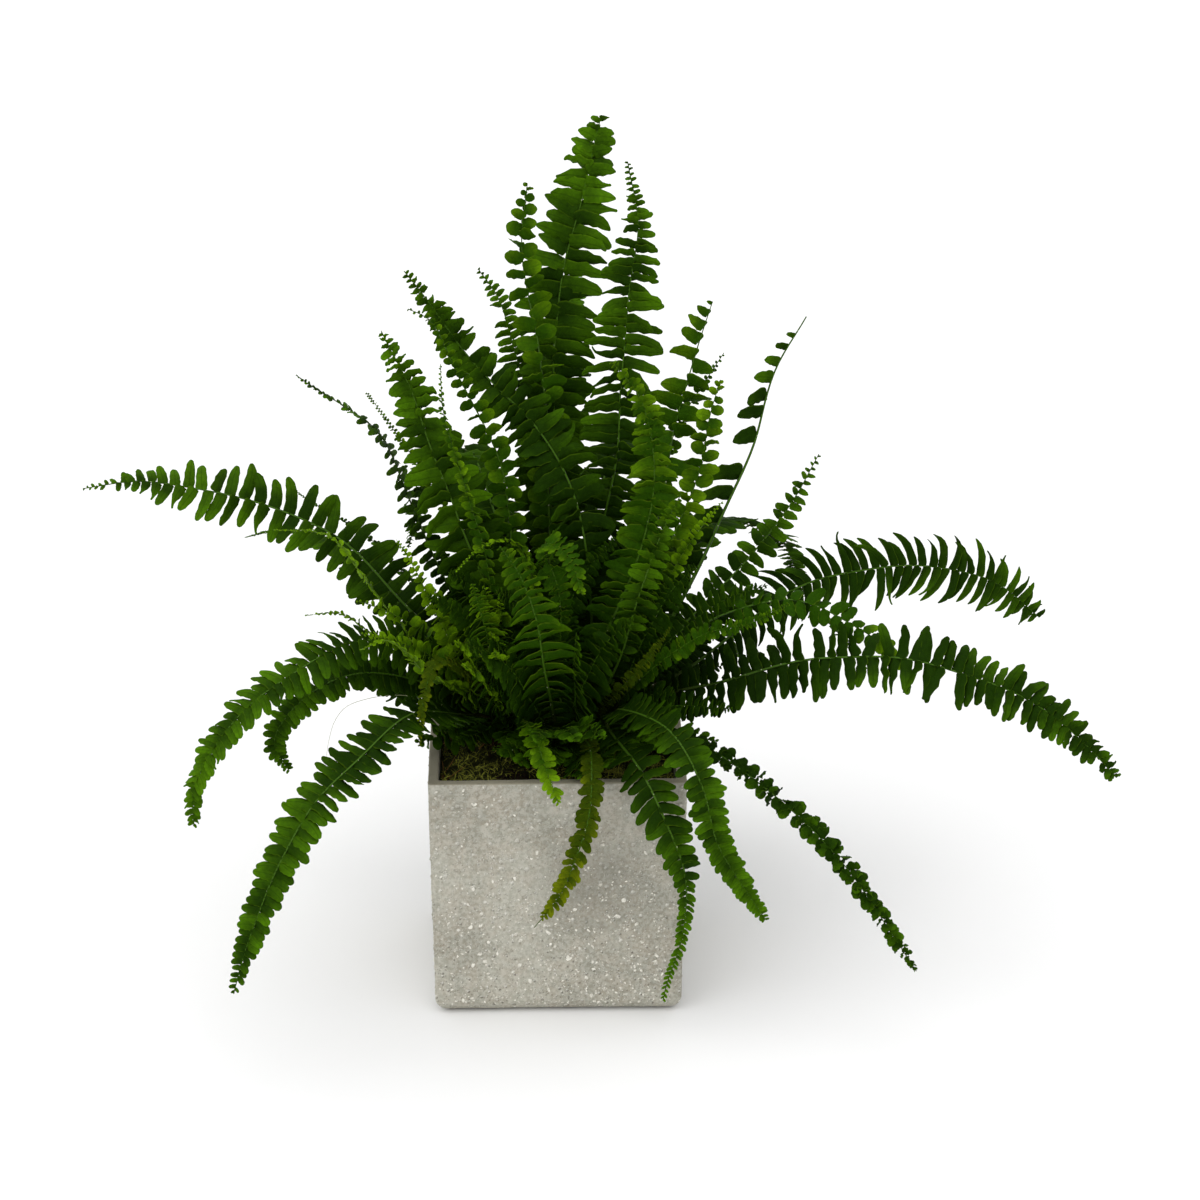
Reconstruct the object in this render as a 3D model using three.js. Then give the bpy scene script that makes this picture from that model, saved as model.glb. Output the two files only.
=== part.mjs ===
// A sword fern in a square cast-concrete pot. Millimetres, +Z up.
// The origin is the centre of the pot's underside, and the pot's front face looks along -Y.
import * as THREE from "three";

// Pot
const POT_TOP_SIDE = 160;
const POT_FOOT_SIDE = 155;
const POT_HEIGHT = 160;
const POT_WALL = 6.5;
const POT_FLOOR = 10;
const POT_FOOT_ROUNDING = 9;
const POT_CORNER_RADIUS = 2.5;
const POT_FOOT_CORNER_RADIUS = 4.3;
const RIM_ROUNDING = 1;
const ROUNDING_STEPS = 5;

// Fill
const GAP = 0.3;
const MOSS_TOP = POT_HEIGHT - 9;
const MOSS_THICKNESS = 9;
const SOIL_TOP = MOSS_TOP - MOSS_THICKNESS - GAP;

// Crowns: short rootstocks that stand on the soil, come up through the moss and carry the fronds.
const CROWN_TOP = MOSS_TOP + 11;
const CROWN_SHOULDER = 2;
const CROWN_SIDES = 28;
const CROWNS = {
  left: { centre: [-30, 4], radius: 19 },
  right: { centre: [28, 6], radius: 19 },
  back: { centre: [0, 42], radius: 19 },
  front: { centre: [0, -24], radius: 14 },
};

// Fronds: each is a stalk that widens into a thin blade and narrows again to its tip.
const STALK_RADIUS = 1.6;
const STALK_RISE = 10;
const BLADE_HALF_THICKNESS = 1.1;
const TIP_HALF_WIDTH = 1.2;
const TIP_HALF_THICKNESS = 0.7;
const BLADE_SHOULDER = 0.45;
const BLADE_START = 0.16;
const BLADE_FULL = 0.36;
const BLADE_TAPER = 0.55;
const STATION_SPACING = 24;
const FEWEST_STATIONS = 8;
const CLEARANCE_STEP = 4;
const CLEARANCE_SHARE = 0.46;
const CLEARANCE_MARGIN = 0.5;

const CONCRETE = new THREE.MeshStandardMaterial({ color: "#b3aea1", roughness: 0.85, metalness: 0 });
const SOIL = new THREE.MeshStandardMaterial({ color: "#2c2219", roughness: 0.95, metalness: 0 });
const MOSS = new THREE.MeshStandardMaterial({ color: "#454a1c", roughness: 0.95, metalness: 0 });
const ROOTSTOCK = new THREE.MeshStandardMaterial({ color: "#4b3722", roughness: 0.9, metalness: 0 });
const DEEP = new THREE.MeshStandardMaterial({ color: "#2f5a12", roughness: 0.5, metalness: 0 });
const FRESH = new THREE.MeshStandardMaterial({ color: "#6f9a20", roughness: 0.5, metalness: 0 });
const OLIVE = new THREE.MeshStandardMaterial({ color: "#77801a", roughness: 0.5, metalness: 0 });

// Ways that a blade's upper side faces.
const TO_FRONT = [0, -1, 0.35];
const TO_FRONT_UP = [0, -0.8, 0.7];
const TO_LEFT_FRONT_UP = [-0.3, -0.7, 0.7];
const TO_RIGHT_FRONT = [0.7, -0.7, 0.3];
const TO_LEFT_FRONT = [-0.8, -0.8, 0.2];
const TO_SKY = [0, 0, 1];
const LEAST_LEAN = 0.35;

// One frond: its crown, its foot on the crown as an angle in degrees from +X and a distance from the
// middle, its half width, the way it faces, its colour, and the points that it passes up to its tip,
// each as x, y and the height above the pot's rim.
function frond(crown, foot, halfWidth, facing, tone, path) {
  return { crown, foot, halfWidth, facing, tone, path };
}

const FRONDS = {
  upright: [
    frond("back", [80, 3], 24, TO_FRONT, DEEP, [
      [-2, 50, 139], [0, 54, 223], [6, 62, 280], [18, 72, 332], [30, 84, 378],
    ]),
    frond("back", [20, 9], 21, TO_FRONT, DEEP, [
      [36, 38, 156], [43, 42, 227], [49, 50, 285], [52, 58, 321], [46, 66, 354],
    ]),
    frond("back", [250, 10], 9, TO_FRONT, FRESH, [
      [-3, 36, 156], [-8, 36, 229], [-14, 36, 274], [-19, 34, 317], [-16, 30, 350],
    ]),
    frond("back", [150, 10], 16, TO_FRONT, DEEP, [
      [-4, 72, 156], [-15, 80, 196], [-25, 86, 226], [-34, 96, 257], [-48, 108, 276],
    ]),
    frond("right", [160, 5.5], 20, TO_FRONT, DEEP, [
      [22, 12, 86], [15, 12, 148], [-11, 24, 194], [-49, 38, 234], [-74, 42, 269], [-92, 42, 291],
    ]),
    frond("left", [60, 5.5], 9, TO_FRONT, FRESH, [
      [-34, 6, 181], [-61, 12, 238], [-76, 12, 268], [-90, 10, 276],
    ]),
    frond("left", [310, 5.5], 23, TO_FRONT, DEEP, [
      [-41, -6, 93], [-62, -8, 150], [-77, -8, 200], [-89, -10, 237], [-105, -14, 270],
    ]),
    frond("left", [105, 11.5], 5, TO_FRONT, FRESH, [
      [-66, 14, 139], [-90, 18, 184], [-106, 20, 208], [-116, 20, 221],
    ]),
    frond("left", [285, 11.5], 8, TO_LEFT_FRONT, FRESH, [
      [-41, -20, 117], [-57, -26, 179], [-66, -26, 214], [-68, -24, 253],
    ]),
    frond("right", [110, 12], 19, TO_FRONT, FRESH, [
      [63, 24, 134], [77, 36, 193], [88, 44, 233], [98, 50, 269],
    ]),
    frond("back", [45, 14], 10, TO_FRONT, DEEP, [
      [60, 50, 125], [79, 64, 184], [93, 76, 205], [108, 86, 225],
    ]),
    frond("right", [88, 5.5], 10, TO_FRONT, FRESH, [
      [53, 6, 80], [78, 10, 138], [89, 14, 170], [97, 18, 206], [103, 20, 228],
    ]),
    frond("front", [60, 10], 22, TO_FRONT, FRESH, [
      [30, -16, 70], [54, -20, 137], [61, -28, 198], [51, -36, 235], [34, -40, 258],
    ]),
  ],
  left: [
    frond("left", [170, 5.5], 26, TO_FRONT_UP, DEEP, [
      [-92, 24, 75], [-137, 38, 118], [-197, 50, 142], [-255, 58, 150], [-299, 62, 144],
    ]),
    frond("left", [188, 11.5], 6, TO_SKY, FRESH, [
      [-79, -12, 55], [-118, -24, 113], [-138, -30, 144], [-172, -36, 151],
    ]),
    frond("back", [165, 15], 5, TO_SKY, DEEP, [
      [-80, 60, 67], [-117, 88, 98], [-146, 106, 112], [-170, 120, 123],
    ]),
    frond("left", [222, 11.5], 5, TO_FRONT_UP, FRESH, [
      [-54, -22, 48], [-78, -42, 106], [-92, -53, 141], [-97, -60, 154],
    ]),
    frond("left", [165, 17], 5, TO_SKY, FRESH, [
      [-70, 6, 25], [-111, 4, 62], [-135, 2, 81], [-158, 0, 82],
    ]),
    frond("left", [145, 11.5], 14, TO_SKY, DEEP, [
      [-66, 26, 89], [-91, 38, 140], [-108, 48, 180], [-133, 56, 202], [-161, 60, 221],
    ]),
    frond("left", [212, 17], 19, TO_LEFT_FRONT_UP, DEEP, [
      [-66, -26, 51], [-114, -54, 85], [-163, -82, 75], [-198, -98, 48], [-219, -108, 11], [-221, -110, -13],
    ]),
    frond("left", [189, 17], 17, TO_FRONT_UP, DEEP, [
      [-73, -14, 37], [-120, -36, 57], [-160, -54, 43], [-174, -60, 21], [-165, -60, 1],
    ]),
    frond("left", [238, 17], 26, TO_LEFT_FRONT_UP, DEEP, [
      [-60, -46, 32], [-89, -84, 49], [-124, -128, 32], [-154, -158, 9], [-183, -184, -47], [-193, -190, -87],
    ]),
    frond("left", [264, 17], 7, TO_LEFT_FRONT_UP, OLIVE, [
      [-52, -46, 57], [-73, -70, 76], [-82, -88, 55], [-85, -94, 33],
    ]),
    frond("left", [262, 8], 6, TO_SKY, FRESH, [
      [-52, -28, 40], [-79, -56, 63], [-103, -78, 96], [-119, -86, 92],
    ]),
  ],
  right: [
    frond("right", [25, 16], 25, TO_FRONT, DEEP, [
      [92, 20, 40], [152, 40, 80], [220, 60, 89], [277, 72, 76], [316, 80, 45],
    ]),
    frond("right", [342, 12], 24, TO_FRONT_UP, DEEP, [
      [99, -18, 41], [168, -34, 62], [236, -50, 65], [300, -62, 38], [347, -70, -4],
    ]),
    frond("right", [62, 12], 14, TO_FRONT, DEEP, [
      [93, 36, 69], [129, 60, 99], [151, 76, 126], [171, 90, 155],
    ]),
    frond("right", [16, 5.5], 18, TO_RIGHT_FRONT, DEEP, [
      [73, 26, 66], [106, 50, 124], [127, 70, 167], [141, 84, 214], [162, 90, 248],
    ]),
    frond("right", [8, 12], 14, TO_FRONT_UP, FRESH, [
      [91, 2, 72], [146, -6, 91], [190, -14, 74], [220, -20, 48],
    ]),
    frond("right", [310, 12], 7, TO_FRONT_UP, FRESH, [
      [52, -24, 45], [89, -48, 85], [121, -68, 101], [140, -80, 116],
    ]),
    frond("right", [304, 5.5], 4, TO_FRONT, FRESH, [
      [36, -6, 37], [60, -12, 88], [83, -18, 134], [102, -20, 162],
    ]),
    frond("right", [255, 17], 3, TO_FRONT, OLIVE, [
      [34, -24, 32], [55, -46, 69], [70, -60, 94],
    ]),
    frond("right", [328, 17.3], 6, TO_FRONT_UP, DEEP, [
      [77, -44, 15], [101, -78, 17], [137, -112, -1], [180, -136, -41], [217, -148, -96],
    ]),
  ],
  front: [
    frond("front", [200, 5], 4, TO_SKY, FRESH, [
      [-12, -30, 102], [-25, -48, 146], [-45, -62, 147], [-61, -75, 136],
    ]),
    frond("front", [90, 4], 8, TO_SKY, FRESH, [
      [3, -38, 94], [-6, -80, 157], [8, -105, 156], [16, -122, 139],
    ]),
    frond("front", [265, 6], 22, TO_FRONT, FRESH, [
      [-7, -54, 65], [-15, -70, 111], [-22, -80, 136], [-34, -88, 158],
    ]),
    frond("left", [290, 17], 17, TO_FRONT, FRESH, [
      [-38, -50, 57], [-44, -68, 98], [-52, -84, 134],
    ]),
    frond("front", [15, 10], 16, TO_LEFT_FRONT, DEEP, [
      [12, -36, 34], [12, -48, 60], [12, -62, 92],
    ]),
    frond("right", [232, 5.5], 20, TO_FRONT, DEEP, [
      [34, -18, 44], [50, -38, 103], [64, -52, 149], [75, -60, 180],
    ]),
    frond("right", [300, 17.3], 12, TO_FRONT_UP, DEEP, [
      [41, -50, 36], [69, -96, 39], [86, -118, 13], [97, -124, -21], [128, -120, -76],
    ]),
    frond("right", [278, 17.3], 22, TO_FRONT_UP, DEEP, [
      [33, -50, 22], [53, -98, 13], [67, -115, -16], [77, -118, -49], [76, -112, -85], [66, -104, -138],
    ]),
    frond("front", [310, 11], 9, TO_FRONT_UP, OLIVE, [
      [19, -66, 19], [21, -98, 10], [18, -108, -16], [5, -110, -52], [-16, -108, -85],
    ]),
    frond("front", [220, 11], 9, TO_FRONT_UP, FRESH, [
      [-18, -50, 28], [-13, -80, 31], [-7, -102, 17], [-1, -110, 0],
    ]),
  ],
  back: [
    frond("back", [100, 9], 22, TO_SKY, DEEP, [
      [0, 76, 140], [6, 110, 220], [10, 170, 250], [12, 220, 220],
    ]),
    frond("back", [60, 9], 22, TO_SKY, DEEP, [
      [26, 84, 110], [44, 140, 150], [62, 196, 120], [74, 232, 50],
    ]),
    frond("back", [130, 15], 22, TO_SKY, DEEP, [
      [-32, 86, 100], [-56, 140, 140], [-82, 196, 110], [-100, 232, 40],
    ]),
    frond("right", [47, 17.3], 22, TO_SKY, DEEP, [
      [84, 50, 40], [130, 100, 50], [180, 150, 20], [220, 190, -40],
    ]),
    frond("left", [120, 17.3], 22, TO_SKY, DEEP, [
      [-84, 56, 45], [-130, 100, 80], [-178, 146, 85], [-214, 176, 63],
    ]),
    frond("back", [85, 16], 20, TO_SKY, DEEP, [
      [16, 100, 40], [30, 150, 40], [42, 200, -10], [48, 220, -70],
    ]),
    frond("back", [110, 17], 20, TO_SKY, FRESH, [
      [-30, 100, 40], [-50, 150, 40], [-70, 195, 0], [-84, 215, -60],
    ]),
    frond("back", [25, 17.3], 18, TO_SKY, DEEP, [
      [60, 90, 30], [96, 134, 25], [120, 165, 0], [134, 184, -35],
    ]),
    frond("back", [145, 17.5], 18, TO_SKY, DEEP, [
      [-60, 84, 25], [-104, 124, 20], [-134, 150, -5], [-146, 164, -35],
    ]),
    frond("right", [80, 17.3], 20, TO_SKY, DEEP, [
      [70, 70, 80], [110, 120, 100], [150, 170, 70], [176, 210, 10],
    ]),
  ],
};

const upTo = (value, limit) => Math.min(Math.max(value, 0), limit);
const share = (value, from, to) => upTo((value - from) / (to - from), 1);
const smooth = (x) => x * x * (3 - 2 * x);

// Closed solid through equal rings of points, with a fan over each end.
function loft(rings) {
  const sides = rings[0].length;
  const points = rings.flat();
  const faces = [];
  for (let ring = 0; ring < rings.length - 1; ring++) {
    for (let side = 0; side < sides; side++) {
      const here = ring * sides + side;
      const next = ring * sides + ((side + 1) % sides);
      faces.push(here, next, next + sides, here, next + sides, here + sides);
    }
  }
  for (const [ring, turned] of [[0, true], [rings.length - 1, false]]) {
    const middle = rings[ring].reduce((sum, p) => sum.add(p), new THREE.Vector3()).divideScalar(sides);
    const centre = points.push(middle) - 1;
    for (let side = 0; side < sides; side++) {
      const here = ring * sides + side;
      const next = ring * sides + ((side + 1) % sides);
      faces.push(centre, ...(turned ? [next, here] : [here, next]));
    }
  }
  const geometry = new THREE.BufferGeometry().setFromPoints(points);
  geometry.setIndex(faces);
  geometry.computeVertexNormals();
  return geometry;
}

// Level ring of a square with round corners, anticlockwise seen from above.
function squareRing(side, radius, z) {
  const reach = side / 2 - radius;
  const ring = [];
  for (const [cornerX, cornerY, start] of [[1, 1, 0], [-1, 1, 90], [-1, -1, 180], [1, -1, 270]]) {
    for (let step = 0; step <= ROUNDING_STEPS; step++) {
      const angle = THREE.MathUtils.degToRad(start + (90 * step) / ROUNDING_STEPS);
      const x = cornerX * reach + radius * Math.cos(angle);
      const y = cornerY * reach + radius * Math.sin(angle);
      ring.push(new THREE.Vector3(x, y, z));
    }
  }
  return ring;
}

// The pot's outer side at a height, between its foot and its rim.
const potSide = (z) => THREE.MathUtils.lerp(POT_FOOT_SIDE, POT_TOP_SIDE, z / POT_HEIGHT);

// The side of a square that stands off the pot's inner wall by a gap at a height.
const innerSide = (z, gap) => potSide(z) - 2 * (POT_WALL + gap);

function potGeometry() {
  const rings = [];
  for (let step = 0; step <= ROUNDING_STEPS; step++) {
    const angle = (Math.PI / 2) * (step / ROUNDING_STEPS);
    const inset = POT_FOOT_ROUNDING * (1 - Math.sin(angle));
    const z = POT_FOOT_ROUNDING * (1 - Math.cos(angle));
    const corner = THREE.MathUtils.lerp(POT_FOOT_CORNER_RADIUS, POT_CORNER_RADIUS, step / ROUNDING_STEPS);
    rings.push(squareRing(potSide(z) - 2 * inset, corner, z));
  }
  const arcMiddle = RIM_ROUNDING * (1 - Math.SQRT1_2);
  const rimEdge = [[0, RIM_ROUNDING], [arcMiddle, arcMiddle], [RIM_ROUNDING, 0]];
  for (const [inset, drop] of rimEdge) {
    const z = POT_HEIGHT - drop;
    rings.push(squareRing(potSide(z) - 2 * inset, POT_CORNER_RADIUS, z));
  }
  for (const [inset, drop] of rimEdge.toReversed()) {
    const z = POT_HEIGHT - drop;
    rings.push(squareRing(innerSide(z, -inset), POT_CORNER_RADIUS, z));
  }
  rings.push(squareRing(innerSide(POT_FLOOR, 0), POT_CORNER_RADIUS, POT_FLOOR));
  return loft(rings);
}

function soilGeometry() {
  const floor = POT_FLOOR + GAP;
  return loft([floor, SOIL_TOP].map((z) => squareRing(innerSide(z, GAP), POT_CORNER_RADIUS, z)));
}

// A flat pad with a round hole for each crown.
function mossGeometry() {
  const bottom = SOIL_TOP + GAP;
  const outline = new THREE.Shape(squareRing(innerSide(bottom, GAP), POT_CORNER_RADIUS, 0));
  for (const { centre, radius } of Object.values(CROWNS)) {
    const hole = new THREE.Path();
    hole.absarc(centre[0], centre[1], radius + GAP, 0, 2 * Math.PI, true);
    outline.holes.push(hole);
  }
  const settings = { depth: MOSS_TOP - bottom, bevelEnabled: false, curveSegments: CROWN_SIDES };
  return new THREE.ExtrudeGeometry(outline, settings).translate(0, 0, bottom);
}

function crownGeometry({ centre, radius }) {
  const bottom = SOIL_TOP + GAP;
  const profile = [
    new THREE.Vector2(0, bottom),
    new THREE.Vector2(radius, bottom),
    new THREE.Vector2(radius, MOSS_TOP + CROWN_SHOULDER),
    new THREE.Vector2(radius, CROWN_TOP - CROWN_SHOULDER),
    new THREE.Vector2(radius - CROWN_SHOULDER / 2, CROWN_TOP),
    new THREE.Vector2(0, CROWN_TOP),
  ];
  const turned = new THREE.LatheGeometry(profile, CROWN_SIDES).rotateX(Math.PI / 2);
  return turned.translate(centre[0], centre[1], 0);
}

// The frond's middle line: straight up from its foot for a short way, then through its path.
function frondCurve({ crown, foot, path }) {
  const [angle, distance] = foot;
  const [x, y] = CROWNS[crown].centre;
  const footX = x + distance * Math.cos(THREE.MathUtils.degToRad(angle));
  const footY = y + distance * Math.sin(THREE.MathUtils.degToRad(angle));
  const start = new THREE.Vector3(footX, footY, CROWN_TOP + GAP);
  const risen = start.clone().setZ(start.z + STALK_RISE);
  const points = path.map(([pathX, pathY, height]) => new THREE.Vector3(pathX, pathY, POT_HEIGHT + height));
  return new THREE.CatmullRomCurve3([start, risen, ...points]);
}

// How far a point is from the pot and its fill, taken as one block.
function potDistance(point) {
  const side = potSide(upTo(point.z, POT_HEIGHT)) / 2;
  const away = new THREE.Vector3(Math.abs(point.x) - side, Math.abs(point.y) - side, point.z - POT_HEIGHT);
  return away.max(new THREE.Vector3()).length();
}

// For each step along each frond, the half width that keeps its blade clear of the others and the pot.
function clearWidths(curves) {
  const lines = curves.map((curve) => curve.getSpacedPoints(Math.ceil(curve.getLength() / CLEARANCE_STEP)));
  return lines.map((line, own) =>
    line.map((point) => {
      let nearest = Infinity;
      for (let other = 0; other < lines.length; other++) {
        if (other === own) continue;
        for (const place of lines[other]) nearest = Math.min(nearest, point.distanceTo(place));
      }
      const besideFronds = nearest * CLEARANCE_SHARE - CLEARANCE_MARGIN;
      const besidePot = potDistance(point) - CLEARANCE_MARGIN;
      return Math.min(besideFronds, Math.max(besidePot, STALK_RADIUS));
    }),
  );
}

// The way across the blade at each station, worked out from the tip down to the foot. Where the frond
// climbs almost straight along its facing, the way across follows from the station above.
function waysAcross(tangents, facing) {
  const face = new THREE.Vector3(...facing).normalize();
  const ways = [];
  for (const tangent of tangents.toReversed()) {
    const across = new THREE.Vector3().crossVectors(tangent, face);
    if (ways.length > 0 && across.length() < LEAST_LEAN) across.copy(ways[0]).projectOnPlane(tangent);
    ways.unshift(across.normalize());
  }
  return ways;
}

// Stalk, blade and tip as one lofted solid with six-sided sections.
function frondGeometry({ halfWidth, facing }, curve, clear) {
  const stations = Math.max(FEWEST_STATIONS, Math.round(curve.getLength() / STATION_SPACING));
  const shares = Array.from({ length: stations + 1 }, (_, station) => station / stations);
  const tangents = shares.map((along) => curve.getTangentAt(along));
  const ways = waysAcross(tangents, facing);
  const rings = [];
  for (let station = 0; station <= stations; station++) {
    const along = shares[station];
    const middle = curve.getPointAt(along);
    const side = ways[station];
    const normal = new THREE.Vector3().crossVectors(side, tangents[station]);
    const spread = smooth(share(along, BLADE_START, BLADE_FULL));
    const taper = 1 - share(along, BLADE_TAPER, 1) ** 2;
    const blade = Math.max(TIP_HALF_WIDTH, halfWidth * taper);
    const wanted = THREE.MathUtils.lerp(STALK_RADIUS, blade, spread);
    const reach = (clear.length - 1) / stations;
    const from = Math.floor(upTo((station - 1) * reach, clear.length));
    const to = Math.ceil(upTo((station + 1) * reach, clear.length - 1));
    const width = Math.min(wanted, ...clear.slice(from, to + 1));
    const flat = THREE.MathUtils.lerp(STALK_RADIUS, BLADE_HALF_THICKNESS, spread);
    const thickness = Math.min(width, THREE.MathUtils.lerp(flat, TIP_HALF_THICKNESS, along ** 3));
    const shoulder = width * BLADE_SHOULDER;
    const section = [
      [width, 0],
      [shoulder, -thickness],
      [-shoulder, -thickness],
      [-width, 0],
      [-shoulder, thickness],
      [shoulder, thickness],
    ];
    rings.push(
      section.map(([across, up]) => middle.clone().addScaledVector(side, across).addScaledVector(normal, up)),
    );
  }
  return loft(rings);
}

function piece(name, geometry, material) {
  const mesh = new THREE.Mesh(geometry, material);
  mesh.name = name;
  return mesh;
}

const plant = new THREE.Group();
plant.add(piece("pot", potGeometry(), CONCRETE));
plant.add(piece("soil", soilGeometry(), SOIL));
plant.add(piece("moss", mossGeometry(), MOSS));
for (const [place, crown] of Object.entries(CROWNS)) {
  plant.add(piece(`crown_${place}`, crownGeometry(crown), ROOTSTOCK));
}

const named = Object.entries(FRONDS).flatMap(([place, fronds]) =>
  fronds.map((each, index) => ({ name: `frond_${place}_${index + 1}`, ...each })),
);
const curves = named.map(frondCurve);
const widths = clearWidths(curves);
named.forEach((each, index) => {
  plant.add(piece(each.name, frondGeometry(each, curves[index], widths[index]), each.tone));
});

export default plant;
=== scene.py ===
"""A sword fern in a square cast-concrete pot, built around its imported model. Metres, +Z up."""

import logging
import math
from collections.abc import Callable, Iterator
from contextlib import contextmanager
from dataclasses import dataclass
from enum import Enum

import bmesh
import bpy
import numpy as np
from bpy.types import Material, Node, NodeSocket, NodeTree, Object
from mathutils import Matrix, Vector


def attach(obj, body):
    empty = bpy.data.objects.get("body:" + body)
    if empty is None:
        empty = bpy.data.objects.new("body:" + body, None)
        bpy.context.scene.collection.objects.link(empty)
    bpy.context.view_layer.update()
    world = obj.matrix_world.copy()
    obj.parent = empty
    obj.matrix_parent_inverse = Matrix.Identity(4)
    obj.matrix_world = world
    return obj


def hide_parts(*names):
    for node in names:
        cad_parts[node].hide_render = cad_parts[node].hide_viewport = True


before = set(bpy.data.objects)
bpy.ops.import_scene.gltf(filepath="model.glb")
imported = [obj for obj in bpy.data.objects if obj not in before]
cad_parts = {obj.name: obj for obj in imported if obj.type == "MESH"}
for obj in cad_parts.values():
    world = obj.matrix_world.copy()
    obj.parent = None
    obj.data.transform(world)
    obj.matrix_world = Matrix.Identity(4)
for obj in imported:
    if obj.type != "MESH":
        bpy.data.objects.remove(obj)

log = logging.getLogger("fern")

Pair = tuple[float, float]
Triple = tuple[float, float, float]
Array = np.ndarray
Draws = np.random.Generator

MM = 0.001
SEED = 21
TURN = 2 * math.pi
DOWN = np.array([0.0, 0.0, -1.0])


def draws(number: int) -> Draws:
    """A row of random draws, the same in each run."""
    return np.random.default_rng(SEED + number)


# Meshes and selection.


def deselect_all() -> None:
    """Deselect every object."""
    bpy.ops.object.select_all(action="DESELECT")


def make_active(piece: Object) -> None:
    """Select one object alone and make it the active one.

    Args:
        piece: the object.
    """
    deselect_all()
    piece.select_set(True)
    bpy.context.view_layer.objects.active = piece


@contextmanager
def editing(piece: Object) -> Iterator[None]:
    """Hold an object in edit mode for the length of a block.

    Args:
        piece: the object.

    Returns:
        The context of the block.
    """
    make_active(piece)
    bpy.ops.object.mode_set(mode="EDIT")
    yield
    bpy.ops.object.mode_set(mode="OBJECT")


def pick(kind: str, test: Callable[..., bool]) -> None:
    """Select the elements of the edited mesh that pass a test.

    Args:
        kind: VERT, EDGE or FACE.
        test: takes one element and says whether it is selected.
    """
    bpy.ops.mesh.select_mode(type=kind)
    bpy.ops.mesh.select_all(action="DESELECT")
    mesh = bpy.context.edit_object.data
    shape = bmesh.from_edit_mesh(mesh)
    elements = {"VERT": shape.verts, "EDGE": shape.edges, "FACE": shape.faces}[kind]
    for element in elements:
        if test(element):
            element.select_set(True)
    shape.select_flush_mode()
    bmesh.update_edit_mesh(mesh)


def cut_in_slices(axis: int, low: float, high: float, step: float) -> None:
    """Cut the edited mesh with evenly spaced planes.

    Args:
        axis: 0, 1 or 2, the way that the planes face.
        low: where the cut stretch starts, in metres.
        high: where it ends.
        step: the distance between two planes.
    """
    facing = [0.0, 0.0, 0.0]
    facing[axis] = 1.0
    for place in np.arange(low + step, high - step / 2, step):
        bpy.ops.mesh.select_all(action="SELECT")
        bpy.ops.mesh.bisect(plane_co=[place * each for each in facing], plane_no=facing)


def make_solid() -> None:
    """Give the edited mesh three-sided faces that all point outwards."""
    bpy.ops.mesh.select_all(action="SELECT")
    bpy.ops.mesh.quads_convert_to_tris()
    bpy.ops.mesh.normals_make_consistent(inside=False)


def displace(piece: Object, grain: float, strength: float) -> None:
    """Push a piece's surface in and out by soft noise, for good.

    Args:
        piece: the piece, whose mesh is already fine enough.
        grain: the size of the lumps, in metres.
        strength: how far the surface moves in all, in metres.
    """
    texture = bpy.data.textures.new(f"{piece.name}_lumps", "CLOUDS")
    texture.noise_scale = grain
    lumps = piece.modifiers.new("lumps", "DISPLACE")
    lumps.texture = texture
    lumps.strength = strength
    make_active(piece)
    bpy.ops.object.modifier_apply(modifier=lumps.name)


def settle(piece: Object, name: str) -> Object:
    """Name a piece and put its place into its mesh.

    Args:
        piece: the piece.
        name: its name.

    Returns:
        The piece.
    """
    piece.name = piece.data.name = name
    make_active(piece)
    bpy.ops.object.transform_apply(location=True, rotation=True, scale=True)
    return piece


def smooth_by_angle(piece: Object, degrees: float = 60) -> None:
    """Shade a piece smooth, with an edge where its faces turn by more than an angle."""
    piece.data.shade_smooth()
    piece.data.set_sharp_from_angle(angle=math.radians(degrees))


def normalised(vectors: Array) -> Array:
    """The same vectors at length one."""
    return vectors / np.maximum(np.linalg.norm(vectors, axis=-1, keepdims=True), 1e-12)


def point_below(piece: Object, x: float, y: float, top: float) -> Array | None:
    """The first point of a piece straight below a place, or nothing."""
    hit, point, _, _ = piece.ray_cast(Vector((x, y, top)), Vector(DOWN))
    return np.array(point) if hit else None


@dataclass
class Model:
    """A shape that is modelled once and then copied: its points and its faces."""

    points: Array
    faces: Array

    @classmethod
    def taken_from(cls, piece: Object) -> "Model":
        """Read a modelled object, and delete it.

        Args:
            piece: the object, whose faces all have as many sides.

        Returns:
            The model.
        """
        points = np.array([vertex.co for vertex in piece.data.vertices])
        faces = np.array([polygon.vertices for polygon in piece.data.polygons])
        bpy.data.objects.remove(piece)
        return cls(points, faces)

    @classmethod
    def lump(cls) -> "Model":
        """Model a small faceted ball, for grains and crumbs.

        Returns:
            The model.
        """
        deselect_all()
        bpy.ops.mesh.primitive_ico_sphere_add(subdivisions=1, radius=1)
        return cls.taken_from(bpy.context.object)


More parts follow.
